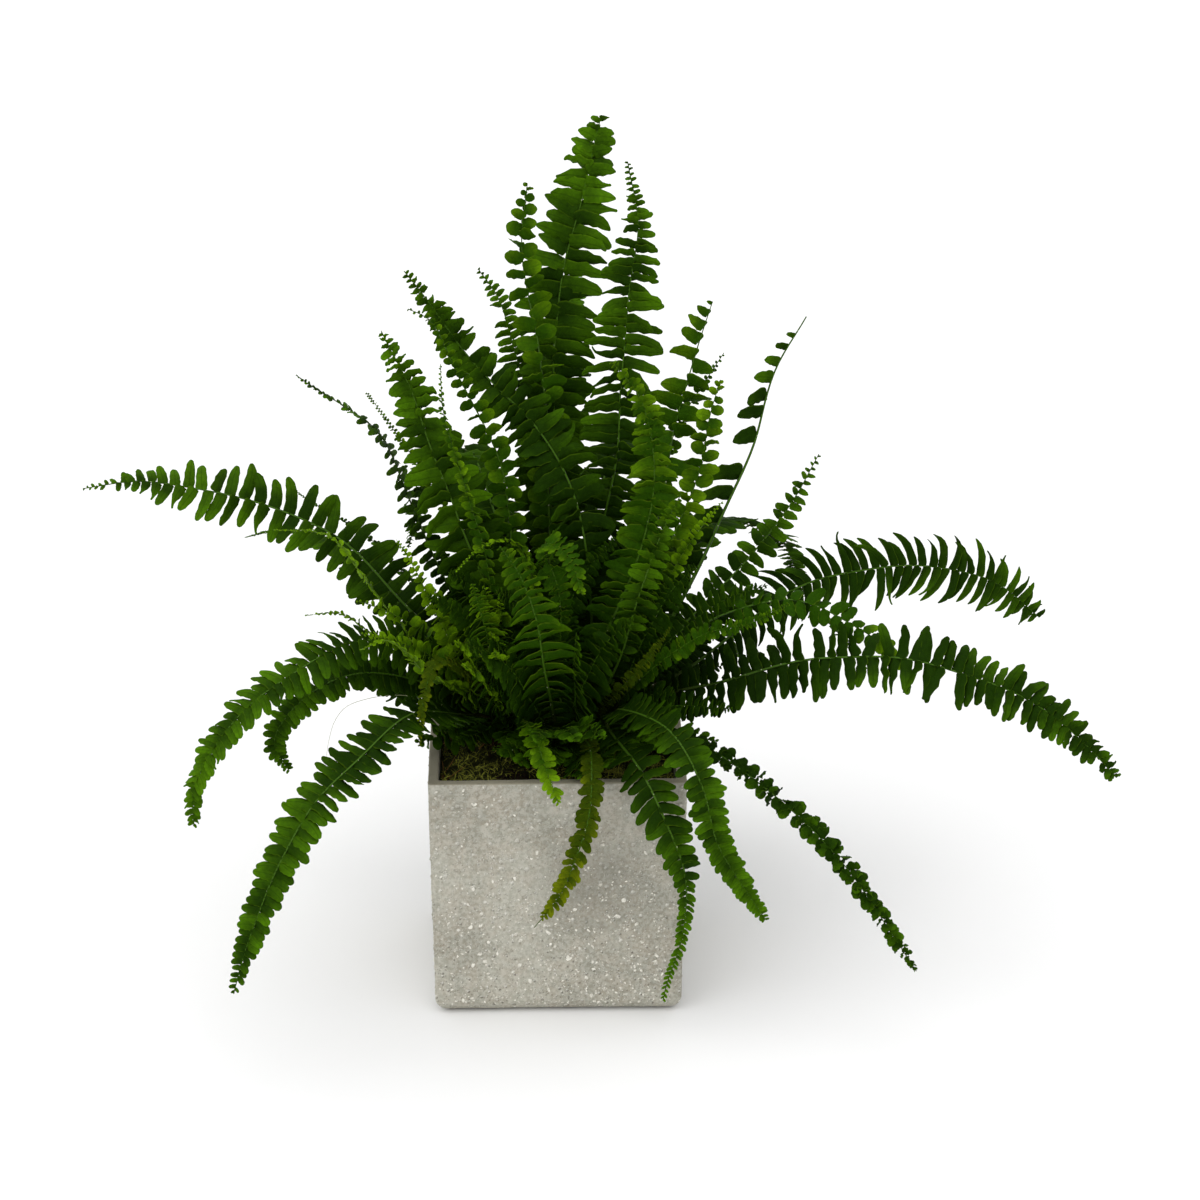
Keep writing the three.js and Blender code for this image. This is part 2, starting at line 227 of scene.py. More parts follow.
class Gathering:
    """Copies of models that are gathered into the mesh of one piece."""

    def __init__(self) -> None:
        """Start with nothing."""
        self.copies: list[tuple[Array, ...]] = []
        self.count = 0

    def add(self, points: Array, faces: Array, chart: Array, growth: Array, finish: int = 0) -> None:
        """Add one copy.

        Args:
            points: its points, in metres.
            faces: its faces, as numbers of its own points.
            chart: for each point, how far along and across the copy it lies, from 0 to 1.
            growth: for each point, three values that the finishes read.
            finish: the number of its finish on the piece.
        """
        numbers = np.full(len(faces), finish)
        self.copies.append((points, faces + self.count, chart, growth, numbers))
        self.count += len(points)

    def add_plain(self, points: Array, model: Model, pale: float, long: bool = False) -> None:
        """Add one copy that has the same shade all over, such as a grain or a strand.

        Args:
            points: its points, in metres.
            model: what it is a copy of.
            pale: how near it is to its finish's second colour, from 0 to 1.
            long: whether the model has a length, along its own Z.
        """
        chart = np.zeros((len(points), 2))
        if long:
            chart = np.column_stack([model.points[:, 2], np.full(len(points), 0.5)])
        self.add(points, model.faces, chart, np.tile([0.0, pale, 0.0], (len(points), 1)))

    def piece(self, name: str, finishes: list[Material], sharp: float = 60) -> Object:
        """Make the gathered copies one object.

        Args:
            name: the piece's name.
            finishes: its materials, in the order of their numbers.
            sharp: the angle in degrees from which an edge is shaded sharp.

        Returns:
            The object, at the origin.
        """
        points, faces, charts, growth, numbers = zip(*self.copies)
        mesh = bpy.data.meshes.new(name)
        mesh.from_pydata(np.vstack(points).tolist(), [], [face for lot in faces for face in lot.tolist()])
        mesh.polygons.foreach_set("material_index", np.concatenate(numbers).astype(np.int32))
        attribute = mesh.attributes.new("growth", "FLOAT_VECTOR", "POINT")
        attribute.data.foreach_set("vector", np.vstack(growth).astype(np.float32).ravel())
        corners = np.zeros(len(mesh.loops), np.int32)
        mesh.loops.foreach_get("vertex_index", corners)
        layer = mesh.uv_layers.new(name="leaflet")
        layer.data.foreach_set("uv", np.vstack(charts)[corners].astype(np.float32).ravel())
        for finish in finishes:
            mesh.materials.append(finish)
        mesh.update()
        piece = bpy.data.objects.new(name, mesh)
        bpy.context.scene.collection.objects.link(piece)
        smooth_by_angle(piece, sharp)
        return piece


# Finishes.


def colour(code: str) -> tuple[float, float, float, float]:
    """A screen colour as the linear colour that a shader takes.

    Args:
        code: the colour, such as "#88aa44".

    Returns:
        Its linear red, green and blue, and full cover.
    """
    channels = [int(code[place : place + 2], 16) / 255 for place in (1, 3, 5)]
    linear = [part / 12.92 if part <= 0.04045 else ((part + 0.055) / 1.055) ** 2.4 for part in channels]
    return (*linear, 1.0)


class Board:
    """A node tree with short calls that add and join its nodes."""

    def __init__(self, tree: NodeTree) -> None:
        """Take the tree that the calls work on."""
        self.tree = tree

    def add(self, kind: str, settings: dict | None = None, inputs: dict | None = None) -> Node:
        """Add a node.

        Args:
            kind: the node's type, such as ShaderNodeMath.
            settings: its own properties by name.
            inputs: its inputs by name or number, each a value or the socket that feeds it.

        Returns:
            The new node.
        """
        node = self.tree.nodes.new(kind)
        for name, value in (settings or {}).items():
            setattr(node, name, value)
        for name, value in (inputs or {}).items():
            if isinstance(value, NodeSocket):
                self.tree.links.new(value, node.inputs[name])
            else:
                node.inputs[name].default_value = value
        return node

    def math(self, operation: str, *values: object) -> NodeSocket:
        """The result of a sum on one to three values."""
        return self.add("ShaderNodeMath", {"operation": operation}, dict(enumerate(values))).outputs[0]

    def times(self, first: object, second: object) -> NodeSocket:
        """The product of two values."""
        return self.math("MULTIPLY", first, second)

    def vector(self, operation: str, inputs: dict) -> Node:
        """A sum on vectors."""
        return self.add("ShaderNodeVectorMath", {"operation": operation}, inputs)

    def span(self, value: object, low: float, high: float, to: Pair = (0.0, 1.0)) -> NodeSocket:
        """A value's place between two others, softly held inside them and stretched to a new span."""
        inputs = {"Value": value, "From Min": low, "From Max": high, "To Min": to[0], "To Max": to[1]}
        return self.add("ShaderNodeMapRange", {"interpolation_type": "SMOOTHSTEP"}, inputs).outputs[0]

    def mix(self, share: object, first: object, second: object, blend: str = "MIX") -> NodeSocket:
        """Two colours mixed by a share."""
        settings = {"data_type": "RGBA", "blend_type": blend}
        return self.add("ShaderNodeMix", settings, {0: share, 6: first, 7: second}).outputs[2]

    def tint(self, base: object, code: str, mask: object, strength: object = 1.0) -> NodeSocket:
        """A colour laid over another through a mask, at a strength."""
        return self.mix(self.times(mask, strength), base, colour(code))

    def noise(self, inputs: dict) -> Node:
        """Soft noise from 0 to 1."""
        return self.add("ShaderNodeTexNoise", None, inputs)

    def group(self, tree: NodeTree, inputs: dict) -> Node:
        """Place a shared effect."""
        return self.add("ShaderNodeGroup", {"node_tree": tree}, inputs)

    def mottle(self, effects: "Effects", place: object, scales: Pair) -> Node:
        """Place the mottle with its large and its small scale."""
        large, small = scales
        return self.group(effects.mottle, {"Place": place, "Large Scale": large, "Small Scale": small})

    def strewn(self, effect: NodeTree, place: object, look: Triple) -> Node:
        """Place an effect of scattered marks with their scale, size and share."""
        return self.group(effect, {"Place": place, "Scale": look[0], "Size": look[1], "Share": look[2]})

    def place(self) -> NodeSocket:
        """A point's place on the plant, in metres."""
        return self.add("ShaderNodeTexCoord").outputs["Object"]

    def parts(self, vector: object) -> list[NodeSocket]:
        """The three parts of a vector."""
        return list(self.add("ShaderNodeSeparateXYZ", None, {0: vector}).outputs)

    def growth(self) -> list[NodeSocket]:
        """The three values that a point's growth holds."""
        return self.parts(self.add("ShaderNodeAttribute", {"attribute_name": "growth"}).outputs["Vector"])

    def chart(self) -> list[NodeSocket]:
        """How far along and across its copy a point lies."""
        return self.parts(self.add("ShaderNodeUVMap", {"uv_map": "leaflet"}).outputs[0])[:2]

    def off(self, value: object, middle: float) -> NodeSocket:
        """How far a value is from a middle, whichever way."""
        return self.math("ABSOLUTE", self.math("SUBTRACT", value, middle))


def new_effect(name: str, takes: dict[str, str], gives: dict[str, str]) -> tuple[Board, dict, dict]:
    """Start a shared effect, which is a node group.

    Args:
        name: the group's name.
        takes: its inputs, as the socket type for each name.
        gives: its outputs, likewise.

    Returns:
        The board of the group, its input sockets by name and its output sockets by name.
    """
    tree = bpy.data.node_groups.new(name, "ShaderNodeTree")
    for names, way in ((takes, "INPUT"), (gives, "OUTPUT")):
        for socket, kind in names.items():
            tree.interface.new_socket(socket, in_out=way, socket_type=kind)
    board = Board(tree)
    source = board.add("NodeGroupInput")
    result = board.add("NodeGroupOutput")
    ins = {socket: source.outputs[socket] for socket in takes}
    outs = {socket: result.inputs[socket] for socket in gives}
    return board, ins, outs


VALUE = "NodeSocketFloat"
PLACE = "NodeSocketVector"
SCATTERED = {"Place": PLACE, "Scale": VALUE, "Size": VALUE, "Share": VALUE}


class Effects:
    """The node groups that more than one finish uses, each built once."""

    ragged_scale = 700.0
    ragged_shift = 1.3 * MM
    # Where each fleck's painted shadow lies, from the fleck.
    painted_shadow_offset = (-0.35 * MM, 0.35 * MM, 0.45 * MM)
    least_spot = 0.3
    spot_edge = 0.6
    light_cut = 0.7
    painted_shadow_cut = 0.8
    lines_along = 3.0

    def __init__(self) -> None:
        """Build all the groups."""
        self.mottle = self._mottle()
        self.spots = self._spots()
        self.flecks = self._flecks()
        self.fibres = self._fibres()

    @staticmethod
    def _mottle() -> NodeTree:
        """Build cloudy unevenness at a large and a small scale.

        Returns:
            The group.
        """
        takes = {"Place": PLACE, "Large Scale": VALUE, "Small Scale": VALUE}
        board, ins, outs = new_effect("mottle", takes, {"Large": VALUE, "Small": VALUE})
        rows = (("Large", 4.0, 0.6, (0.3, 0.7)), ("Small", 6.0, 0.7, (0.25, 0.75)))
        for size, detail, rough, (low, high) in rows:
            inputs = {"Vector": ins["Place"], "Scale": ins[f"{size} Scale"]}
            noise = board.noise({**inputs, "Detail": detail, "Roughness": rough})
            board.tree.links.new(board.span(noise.outputs[0], low, high), outs[size])
        return board.tree

    def _spots(self) -> NodeTree:
        """Build scattered round spots of uneven size.

        Returns:
            The group.
        """
        board, ins, outs = new_effect("spots", SCATTERED, {"Mask": VALUE})
        cells = board.add("ShaderNodeTexVoronoi", None, {"Vector": ins["Place"], "Scale": ins["Scale"]})
        parts = board.add("ShaderNodeSeparateColor", None, {"Color": cells.outputs["Color"]}).outputs
        kept = board.math("LESS_THAN", parts[0], ins["Share"])
        uneven = board.math("MULTIPLY_ADD", parts[1], 1 - self.least_spot, self.least_spot)
        reach = board.math("DIVIDE", cells.outputs["Distance"], board.times(ins["Size"], uneven))
        shown = board.span(board.math("SUBTRACT", 1.0, reach), 0.0, self.spot_edge)
        board.tree.links.new(board.times(shown, kept), outs["Mask"])
        return board.tree

    def _flecks(self) -> NodeTree:
        """Build ragged raised flecks, each a pale mark with a painted highlight and a painted shadow on its
        lower side.

        Returns:
            The group.
        """
        board, ins, outs = new_effect("flecks", SCATTERED, {"Light": VALUE, "Painted Shadow": VALUE})
        ragged = board.noise({"Vector": ins["Place"], "Scale": self.ragged_scale, "Detail": 2.0})
        shift = board.vector("SUBTRACT", {0: ragged.outputs["Color"], 1: (0.5, 0.5, 0.5)})
        small = board.vector("SCALE", {0: shift.outputs[0], "Scale": self.ragged_shift})
        place = board.vector("ADD", {0: ins["Place"], 1: small.outputs[0]})
        # A shifted copy of the flecks gives each fleck its painted shadow, lower down and to one side.
        aside = board.vector("ADD", {0: place.outputs[0], 1: self.painted_shadow_offset})
        look = (ins["Scale"], ins["Size"], ins["Share"])
        raised = board.strewn(self.spots, place.outputs[0], look).outputs[0]
        beyond = board.strewn(self.spots, aside.outputs[0], look).outputs[0]
        light = board.math("SUBTRACT", raised, board.times(beyond, self.light_cut))
        painted_shadow = board.math("SUBTRACT", beyond, board.times(raised, self.painted_shadow_cut))
        board.tree.links.new(board.math("MAXIMUM", light, 0.0), outs["Light"])
        board.tree.links.new(board.math("MAXIMUM", painted_shadow, 0.0), outs["Painted Shadow"])
        return board.tree

    def _fibres(self) -> NodeTree:
        """Build fine lines that run along a strand or a stalk.

        Returns:
            The group.
        """
        takes = {"Along": VALUE, "Across": VALUE, "Count": VALUE}
        board, ins, outs = new_effect("fibres", takes, {"Lines": VALUE})
        across = board.times(ins["Across"], ins["Count"])
        along = board.times(ins["Along"], self.lines_along)
        place = board.add("ShaderNodeCombineXYZ", None, {0: across, 1: along})
        lines = board.noise({"Vector": place.outputs[0], "Scale": 1.0, "Detail": 3.0})
        board.tree.links.new(lines.outputs[0], outs["Lines"])
        return board.tree


def new_finish(name: str, shine: float) -> tuple[Material, Board, Node]:
    """Start a material.

    Args:
        name: the material's name.
        shine: its specular level.

    Returns:
        The material, its board and its Principled shader.
    """
    material = bpy.data.materials.new(name)
    material.use_nodes = True
    shader = material.node_tree.nodes["Principled BSDF"]
    shader.inputs["Specular IOR Level"].default_value = shine
    return material, Board(material.node_tree), shader


def join(board: Board, shader: Node, base: object, rough: object, bump: object, deep: float) -> None:
    """Feed a shader's colour, roughness and bump.

    Args:
        board: the material's board.
        shader: its Principled shader.
        base: the colour's socket.
        rough: the roughness socket.
        bump: the height's socket.
        deep: how deep the bump is, in metres.
    """
    relief = board.add("ShaderNodeBump", None, {"Height": bump, "Distance": deep})
    board.tree.links.new(base, shader.inputs["Base Color"])
    board.tree.links.new(rough, shader.inputs["Roughness"])
    board.tree.links.new(relief.outputs[0], shader.inputs["Normal"])


@dataclass(frozen=True)
class LeafFinish:
    """Leaflets: green that pales towards the frond's tip, with painted shade at its foot and in the midrib,
    veins and a rim of painted light.
    """

    name: str
    shade: str
    lit: str
    rim: str
    shine: float = 0.025
    scales: Pair = (28.0, 420.0)
    painted_foot_shade: float = 0.3
    foot_end: float = 0.55
    unlikeness: float = 0.42
    clouding: float = 0.12
    along_leaf: Pair = (0.1, 1.0)
    painted_light_along: Pair = (-0.16, 0.2)
    lights: Pair = (-0.25, 0.95)
    veins: float = 17.0
    vein_slant: float = -5.0
    vein_edge: Pair = (0.72, 1.0)
    vein_tint: float = 0.02
    rim_edge: Pair = (0.4, 0.5)
    painted_rim_light: float = 0.16
    midrib_edge: Pair = (0.07, 0.02)
    painted_midrib_shade: float = 0.35
    fine_shades: Pair = (0.82, 1.12)
    deep_end: Pair = (0.04, 0.6)
    painted_deep_shade: float = 0.4
    roughs: Pair = (0.42, 0.6)
    grain_height: float = 0.25
    relief: float = 0.12 * MM

    def make(self, effects: Effects) -> Material:
        """Build the material.

        Args:
            effects: the shared effects.

        Returns:
            The material.
        """
        material, board, shader = new_finish(self.name, self.shine)
        share, chance, added = board.growth()
        along, across = board.chart()
        off_middle = board.off(across, 0.5)
        mottle = board.mottle(effects, board.place(), self.scales).outputs
        # Painted shade: the frond darkens towards its foot, deep inside the tuft.
        foot = board.span(share, 0.0, self.foot_end, (-self.painted_foot_shade, 0.0))
        odd = board.times(board.math("SUBTRACT", chance, 0.5), self.unlikeness)
        cloudy = board.span(mottle["Large"], 0.0, 1.0, (-self.clouding, self.clouding))
        # Painted shade at each leaflet's foot and painted light at its tip, added to the mottle.
        cloudy = board.math("ADD", cloudy, board.span(along, *self.along_leaf, self.painted_light_along))
        light = board.math("ADD", board.math("ADD", foot, odd), board.math("ADD", added, cloudy))
        base = board.mix(board.span(light, *self.lights), colour(self.shade), colour(self.lit))

        slant = board.times(off_middle, self.vein_slant)
        slant = board.math("ADD", board.times(along, self.veins), slant)
        vein = board.span(board.math("SINE", board.times(slant, TURN)), *self.vein_edge)
        midrib = board.span(off_middle, *self.midrib_edge)
        # The pale rim is painted light shining through the thin edge; the faint pale veins are the leaflet's
        # own.
        edge = board.times(board.span(off_middle, *self.rim_edge), self.painted_rim_light)
        marks = board.math("MAXIMUM", board.times(vein, self.vein_tint), edge)
        base = board.mix(marks, base, colour(self.rim))
        # Painted shade in the midrib's crease.
        base = board.tint(base, self.shade, midrib, self.painted_midrib_shade)

        fine = board.span(mottle["Small"], 0.0, 1.0, self.fine_shades)
        # Painted shade: the fine mottle darkens further near the frond's foot, in the tuft's core.
        deep = board.times(fine, board.span(share, *self.deep_end, (self.painted_deep_shade, 1.0)))
        grey = board.add("ShaderNodeCombineColor", None, {0: deep, 1: deep, 2: deep})
        base = board.mix(1.0, base, grey.outputs[0], "MULTIPLY")

        rough = board.span(mottle["Small"], 0.0, 1.0, self.roughs)
        grain = board.times(mottle["Small"], self.grain_height)
        height = board.math("SUBTRACT", grain, board.math("MAXIMUM", vein, midrib))
        join(board, shader, base, rough, height, self.relief)
        return material


@dataclass(frozen=True)
class StalkFinish:
    """Stalks: brown at the foot, pale green along the groove, with fine lines and pale flecks, partly scales
    and partly painted glints.
    """

    name: str
    foot: str
    middle: str
    groove: str
    pale: str
    # The pale flecks are partly scales and partly painted glints.
    scale_and_glint_colour: str = "#d7dcb4"
    scales: Triple = (500.0, 0.4, 0.16)
    scale_and_glint_tint: float = 0.5
    line_count: float = 24.0
    line_tint: float = 0.3
    foot_end: Pair = (0.02, 0.3)
    top: float = 0.25
    groove_edge: Pair = (0.16, 0.05)
    groove_start: Pair = (0.1, 0.5)
    pale_start: Pair = (0.05, 0.3)
    line_span: Pair = (0.2, 0.8)
    roughs: Pair = (0.42, 0.6)
    shine: float = 0.12
    relief: float = 0.1 * MM

    def make(self, effects: Effects) -> Material:
        """Build the material.

        Args:
            effects: the shared effects.

        Returns:
            The material.
        """
        material, board, shader = new_finish(self.name, self.shine)
        share, _, added = board.growth()
        along, across = board.chart()
        lines = {"Along": along, "Across": across, "Count": self.line_count}
        lines = board.group(effects.fibres, lines).outputs[0]
        flecks = board.strewn(effects.spots, board.place(), self.scales).outputs[0]
        base = board.mix(board.span(share, *self.foot_end), colour(self.foot), colour(self.middle))
        top = board.span(board.off(across, self.top), *self.groove_edge)
        base = board.tint(base, self.groove, top, board.span(share, *self.groove_start))
        base = board.mix(board.span(added, *self.pale_start), base, colour(self.pale))
        base = board.tint(base, self.foot, lines, self.line_tint)
        # Pale flecks: partly the stalk's scales and partly painted glints.
        base = board.tint(base, self.scale_and_glint_colour, flecks, self.scale_and_glint_tint)
        rough = board.span(lines, *self.line_span, self.roughs)
        join(board, shader, base, rough, lines, self.relief)
        return material


@dataclass(frozen=True)
class ConcreteFinish:
    """Cast concrete: warm grey with soft darker clouds, fine grain, flecks with painted light and shade,
    small pits, a painted frond shadow and a smoother rim.
    """

    name: str
    base: str
    cloud: str
    warm: str
    grain: str
    pit_and_shadow: str
    rim: str
    # A soft painted shadow of the fronds on the pot's front.
    frond_shadow: str = "#77756a"
    frond_shadow_place: Triple = (22 * MM, -80 * MM, 92 * MM)
    frond_shadow_core: float = 6 * MM
    frond_shadow_reach: float = 52 * MM
    frond_shadow_tint: float = 0.4
    cloud_scales: Pair = (13.0, 95.0)
    cloud_edge: Pair = (0.2, 0.9)
    cloud_cover: Pair = (0.0, 0.9)
    warm_cover: Pair = (0.0, 0.5)
    grain_scales: Pair = (420.0, 1500.0)
    grain_cover: Pair = (0.0, 0.25)
    coarse: Triple = (240.0, 0.45, 0.55)
    fine: Triple = (560.0, 0.46, 0.6)
    pits: Triple = (150.0, 0.13, 0.05)
    coarse_tint: float = 1.4
    fine_tint: float = 0.9
    painted_shadow_share: float = 0.65
    flecked: Pair = (0.4, 1.0)
    rim_depths: Pair = (1.0 * MM, 0.3 * MM)
    roughs: Pair = (0.72, 0.95)
    pit_tint: float = 0.8
    fine_height: float = 0.5
    grain_height: float = 0.2
    shine: float = 0.3
    relief: float = 0.8 * MM

    def make(self, effects: Effects) -> Material:
        """Build the material.

        Args:
            effects: the shared effects.

        Returns:
            The material.
        """
        material, board, shader = new_finish(self.name, self.shine)
        place = board.place()
        height = board.parts(place)[2]
        clouds = board.mottle(effects, place, self.cloud_scales).outputs
        grain = board.mottle(effects, place, self.grain_scales).outputs
        coarse = board.strewn(effects.flecks, place, self.coarse).outputs
        fine = board.strewn(effects.flecks, place, self.fine).outputs
        pits = board.strewn(effects.spots, place, self.pits).outputs[0]
        large = board.span(clouds[0], *self.cloud_edge, self.cloud_cover)
        base = board.mix(large, colour(self.base), colour(self.cloud))
        small = board.span(clouds[1], *self.cloud_edge, self.warm_cover)
        base = board.mix(small, base, colour(self.warm))
        base = board.mix(board.span(grain[0], 0.0, 1.0, self.grain_cover), base, colour(self.grain))
        low = board.span(height, POT.height, 0.0, self.flecked)
        # Each fleck is a pale mark with a painted highlight, and a painted shadow on its lower side in the
        # pit colour.
        for flecks, strength in ((fine, self.fine_tint), (coarse, self.coarse_tint)):
            shown = board.times(low, strength)
            base = board.tint(base, self.grain, flecks["Light"], shown)
            shown = board.times(shown, self.painted_shadow_share)
            base = board.tint(base, self.pit_and_shadow, flecks["Painted Shadow"], shown)
        base = board.tint(base, self.pit_and_shadow, pits, self.pit_tint)
        # Painted shadow of the fronds: a soft dark cloud on the pot's front.
        away = board.vector("DISTANCE", {0: place, 1: self.frond_shadow_place}).outputs["Value"]
        shade = board.span(away, self.frond_shadow_core, self.frond_shadow_reach, (self.frond_shadow_tint, 0.0))
        base = board.mix(shade, base, colour(self.frond_shadow))
        on_rim = board.span(height, *(POT.height - depth for depth in self.rim_depths))
        base = board.mix(on_rim, base, colour(self.rim))
        rough = board.span(grain[1], 0.0, 1.0, self.roughs)
        raised = board.math("ADD", coarse["Light"], board.times(fine["Light"], self.fine_height))
        raised = board.math("SUBTRACT", raised, pits)
        raised = board.math("MULTIPLY_ADD", grain[1], self.grain_height, raised)
        join(board, shader, base, rough, raised, self.relief)
        return material


@dataclass(frozen=True)
class GritFinish:
    """Grains, crumbs and moss: two colours mixed grain by grain, with cloudy unevenness."""

    name: str
    first: str
    second: str
    scale: float
    rough: float = 0.85
    relief: float = 0.2
    mottle_share: float = 0.6
    fineness: float = 9.0
    unevenness: float = 0.1
    blend: Pair = (0.1, 1.0)
    shine: float = 0.15

    def make(self, effects: Effects) -> Material:
        """Build the material.

        Args:
            effects: the shared effects.

        Returns:
            The material.
        """
        material, board, shader = new_finish(self.name, self.shine)
        pale = board.growth()[1]
        scales = (self.scale, self.scale * self.fineness)
        large, small = board.mottle(effects, board.place(), scales).outputs
        cloudy = board.times(large, self.mottle_share)
        share = board.math("MULTIPLY_ADD", pale, self.mottle_share, cloudy)
        base = board.mix(board.span(share, *self.blend), colour(self.first), colour(self.second))
        roughs = (self.rough - self.unevenness, min(1.0, self.rough + self.unevenness))
        rough = board.span(small, 0.0, 1.0, roughs)
        join(board, shader, base, rough, small, self.relief * MM)
        return material


@dataclass(frozen=True)
class StageFinish:
    """The pale floor."""

    name: str
    tone: float
    rough: float = 0.9
    shine: float = 0.1

    def make(self) -> Material:
        """Build the material.

        Returns:
            The material.
        """
        material, _, shader = new_finish(self.name, self.shine)
        shader.inputs["Base Color"].default_value = (self.tone, self.tone, self.tone, 1.0)
        shader.inputs["Roughness"].default_value = self.rough
        return material


# The pot and what fills it.


@dataclass(frozen=True)
class Pot:
    """The square pot."""

    rim_side: float = 160 * MM
    foot_side: float = 155 * MM
    height: float = 160 * MM
    wall: float = 6.5 * MM
    floor: float = 10 * MM
    foot_rounding: float = 11 * MM
    foot_slices: int = 9
    corner_rounding: float = 2.5 * MM
    rim_rounding: float = 1 * MM
    mesh_step: float = 4 * MM
    unevenness: tuple[Pair, ...] = ((35 * MM, 0.7 * MM), (9 * MM, 0.25 * MM))
    smooth_angle: float = 40

    def side_at(self, z: float) -> float:
        """The width of the pot at a height."""
        return self.foot_side + (self.rim_side - self.foot_side) * z / self.height

    def build(self, finish: Material) -> Object:
        """Model the pot.

        Args:
            finish: the concrete.

        Returns:
            The pot as one closed shell.
        """
        deselect_all()
        bpy.ops.mesh.primitive_cube_add(
            size=1, location=(0, 0, self.height / 2), scale=(self.foot_side, self.foot_side, self.height)
        )
        piece = settle(bpy.context.object, "pot_body")
        with editing(piece):
            self.shape()
        for vertex in piece.data.vertices:
            narrowing = self.foot_narrowing(vertex.co.z)
            vertex.co.x *= narrowing
            vertex.co.y *= narrowing
        for grain, strength in self.unevenness:
            displace(piece, grain, strength)
        for vertex in piece.data.vertices:
            vertex.co.z = max(vertex.co.z, 0.0)
        smooth_by_angle(piece, self.smooth_angle)
        piece.data.materials.append(finish)
        return piece

    def shape(self) -> None:
        """Widen the edited block at its top, hollow it, round its edges and cut it fine."""
        widen = self.rim_side / self.foot_side
        inner = self.rim_side / 2 - self.wall
        pick("VERT", lambda vertex: vertex.co.z > self.height / 2)
        bpy.ops.transform.resize(value=(widen, widen, 1))
        pick("FACE", lambda face: face.normal.z > 0.9)
        bpy.ops.mesh.inset(thickness=self.wall)
        down = {"value": (0, 0, self.floor - self.height)}
        bpy.ops.mesh.extrude_region_move(TRANSFORM_OT_translate=down)
        pick("EDGE", lambda edge: abs(edge.verts[0].co.z - edge.verts[1].co.z) > self.height / 2)
        bpy.ops.mesh.bevel(offset=self.corner_rounding, segments=4, affect="EDGES")
        pick("EDGE", lambda edge: self.on_rim_edge(edge, inner))
        bpy.ops.mesh.bevel(offset=self.rim_rounding, segments=3, affect="EDGES")
        for axis in (0, 1):
            cut_in_slices(axis, -self.rim_side / 2, self.rim_side / 2, self.mesh_step)
        cut_in_slices(2, 0, self.height, self.mesh_step)
        cut_in_slices(2, 0, self.foot_rounding, self.foot_rounding / self.foot_slices)

    def foot_narrowing(self, z: float) -> float:
        """How far the outer wall draws in at a height, so that the foot's edge comes out round.

        Args:
            z: the height.

        Returns:
            The width there, against the straight wall's.
        """
        drop = max(0.0, self.foot_rounding - z)
        inward = self.foot_rounding - math.sqrt(max(0.0, self.foot_rounding**2 - drop**2))
        return 1 - inward / (self.foot_side / 2)

    def on_rim_edge(self, edge: bmesh.types.BMEdge, inner: float) -> bool:
        """Whether an edge lies along the outer or the inner edge of the rim.

        Args:
            edge: the edge.
            inner: from the pot's middle to the inner edge.

        Returns:
            Whether it does.
        """
        first, second = (vertex.co for vertex in edge.verts)
        if min(first.z, second.z) < self.height - 0.1 * MM:
            return False
        reaches = [max(abs(place.x), abs(place.y)) for place in (first, second, (first + second) / 2)]
        slack = self.corner_rounding * 0.4
        at_outer = all(reach > self.rim_side / 2 - slack for reach in reaches)
        at_inner = all(reach < inner + slack for reach in reaches)
        return at_outer or at_inner


POT = Pot()


@dataclass(frozen=True)
class WallGrains:
    """The pale grains on the pot's walls, larger, paler and closer low down, in millimetres."""

    a_side: int = 1200
    lowest: float = 0.045
    stretch_up: float = 0.945
    crowding: float = 1.25
    edge_margin: float = 3
    least: float = 0.25
    usual: float = 0.24
    more_low: float = 0.25
    largest: float = 1.5
    lengths: Pair = (0.9, 1.9)
    heights: Pair = (0.4, 0.75)
    lumps: Pair = (-0.35, 0.3)
    dullness: Pair = (1.3, 1.7)

    def build(self, body: Object, finish: Material) -> Object:
        """Strew the grains over the four walls, each long along the wall and turned at random.

        Args:
            body: the pot's body, which the grains sit on.
            finish: the grains' material.

        Returns:
            The grains as one piece.
        """
        model = Model.lump()
        rng = draws(0)
        gathering = Gathering()
        for number in range(4 * self.a_side):
            turn = number // self.a_side * math.pi / 2
            outward = np.array([math.sin(turn), -math.cos(turn), 0.0])
            sideways = np.array([math.cos(turn), math.sin(turn), 0.0])
            z = POT.height * (self.lowest + self.stretch_up * rng.random() ** self.crowding)
            shift = (rng.random() - 0.5) * (POT.side_at(z) - 2 * self.edge_margin * MM)
            start = outward * POT.rim_side + sideways * shift + np.array([0, 0, z])
            hit, place, normal, _ = body.ray_cast(Vector(start), Vector(-outward))
            if not hit:
                continue
            low = 1 - z / POT.height
            size = min(self.largest, self.least + rng.exponential(self.usual) + self.more_low * low) * MM
            stretch = np.array([size * rng.uniform(*self.lengths), size, size * rng.uniform(*self.heights)])
            spin = rng.random() * math.pi
            along = sideways * math.cos(spin) + np.array([0, 0, math.sin(spin)])
            out = np.array(normal)
            lump = model.points * (1 + rng.uniform(*self.lumps, (len(model.points), 1)))
            points = np.array(place) + (lump * stretch) @ np.stack([along, np.cross(out, along), out])
            pale = rng.random() ** (self.dullness[0] + self.dullness[1] * (1 - low))
            gathering.add_plain(points, model, pale)
        return gathering.piece("pot_grains", [finish])


@dataclass(frozen=True)
class CrownPlace:
    """Where a crown stands and how wide it is."""

    x: float
    y: float
    radius: float


class Crown(Enum):
    """The rootstocks that carry the fronds."""

    LEFT = CrownPlace(-30 * MM, 4 * MM, 19 * MM)
    RIGHT = CrownPlace(28 * MM, 6 * MM, 19 * MM)
    BACK = CrownPlace(0.0, 42 * MM, 19 * MM)
    FRONT = CrownPlace(0.0, -24 * MM, 14 * MM)


MOSS_TOP = POT.height - 9 * MM
CROWN_TOP = MOSS_TOP + 11 * MM


@dataclass(frozen=True)
class StrandKind:
    """One kind of strand: its lengths and radii in millimetres, and its tips' sway and sag in lengths."""

    lengths: Pair
    radii: Pair
    sway: float
    sag: float


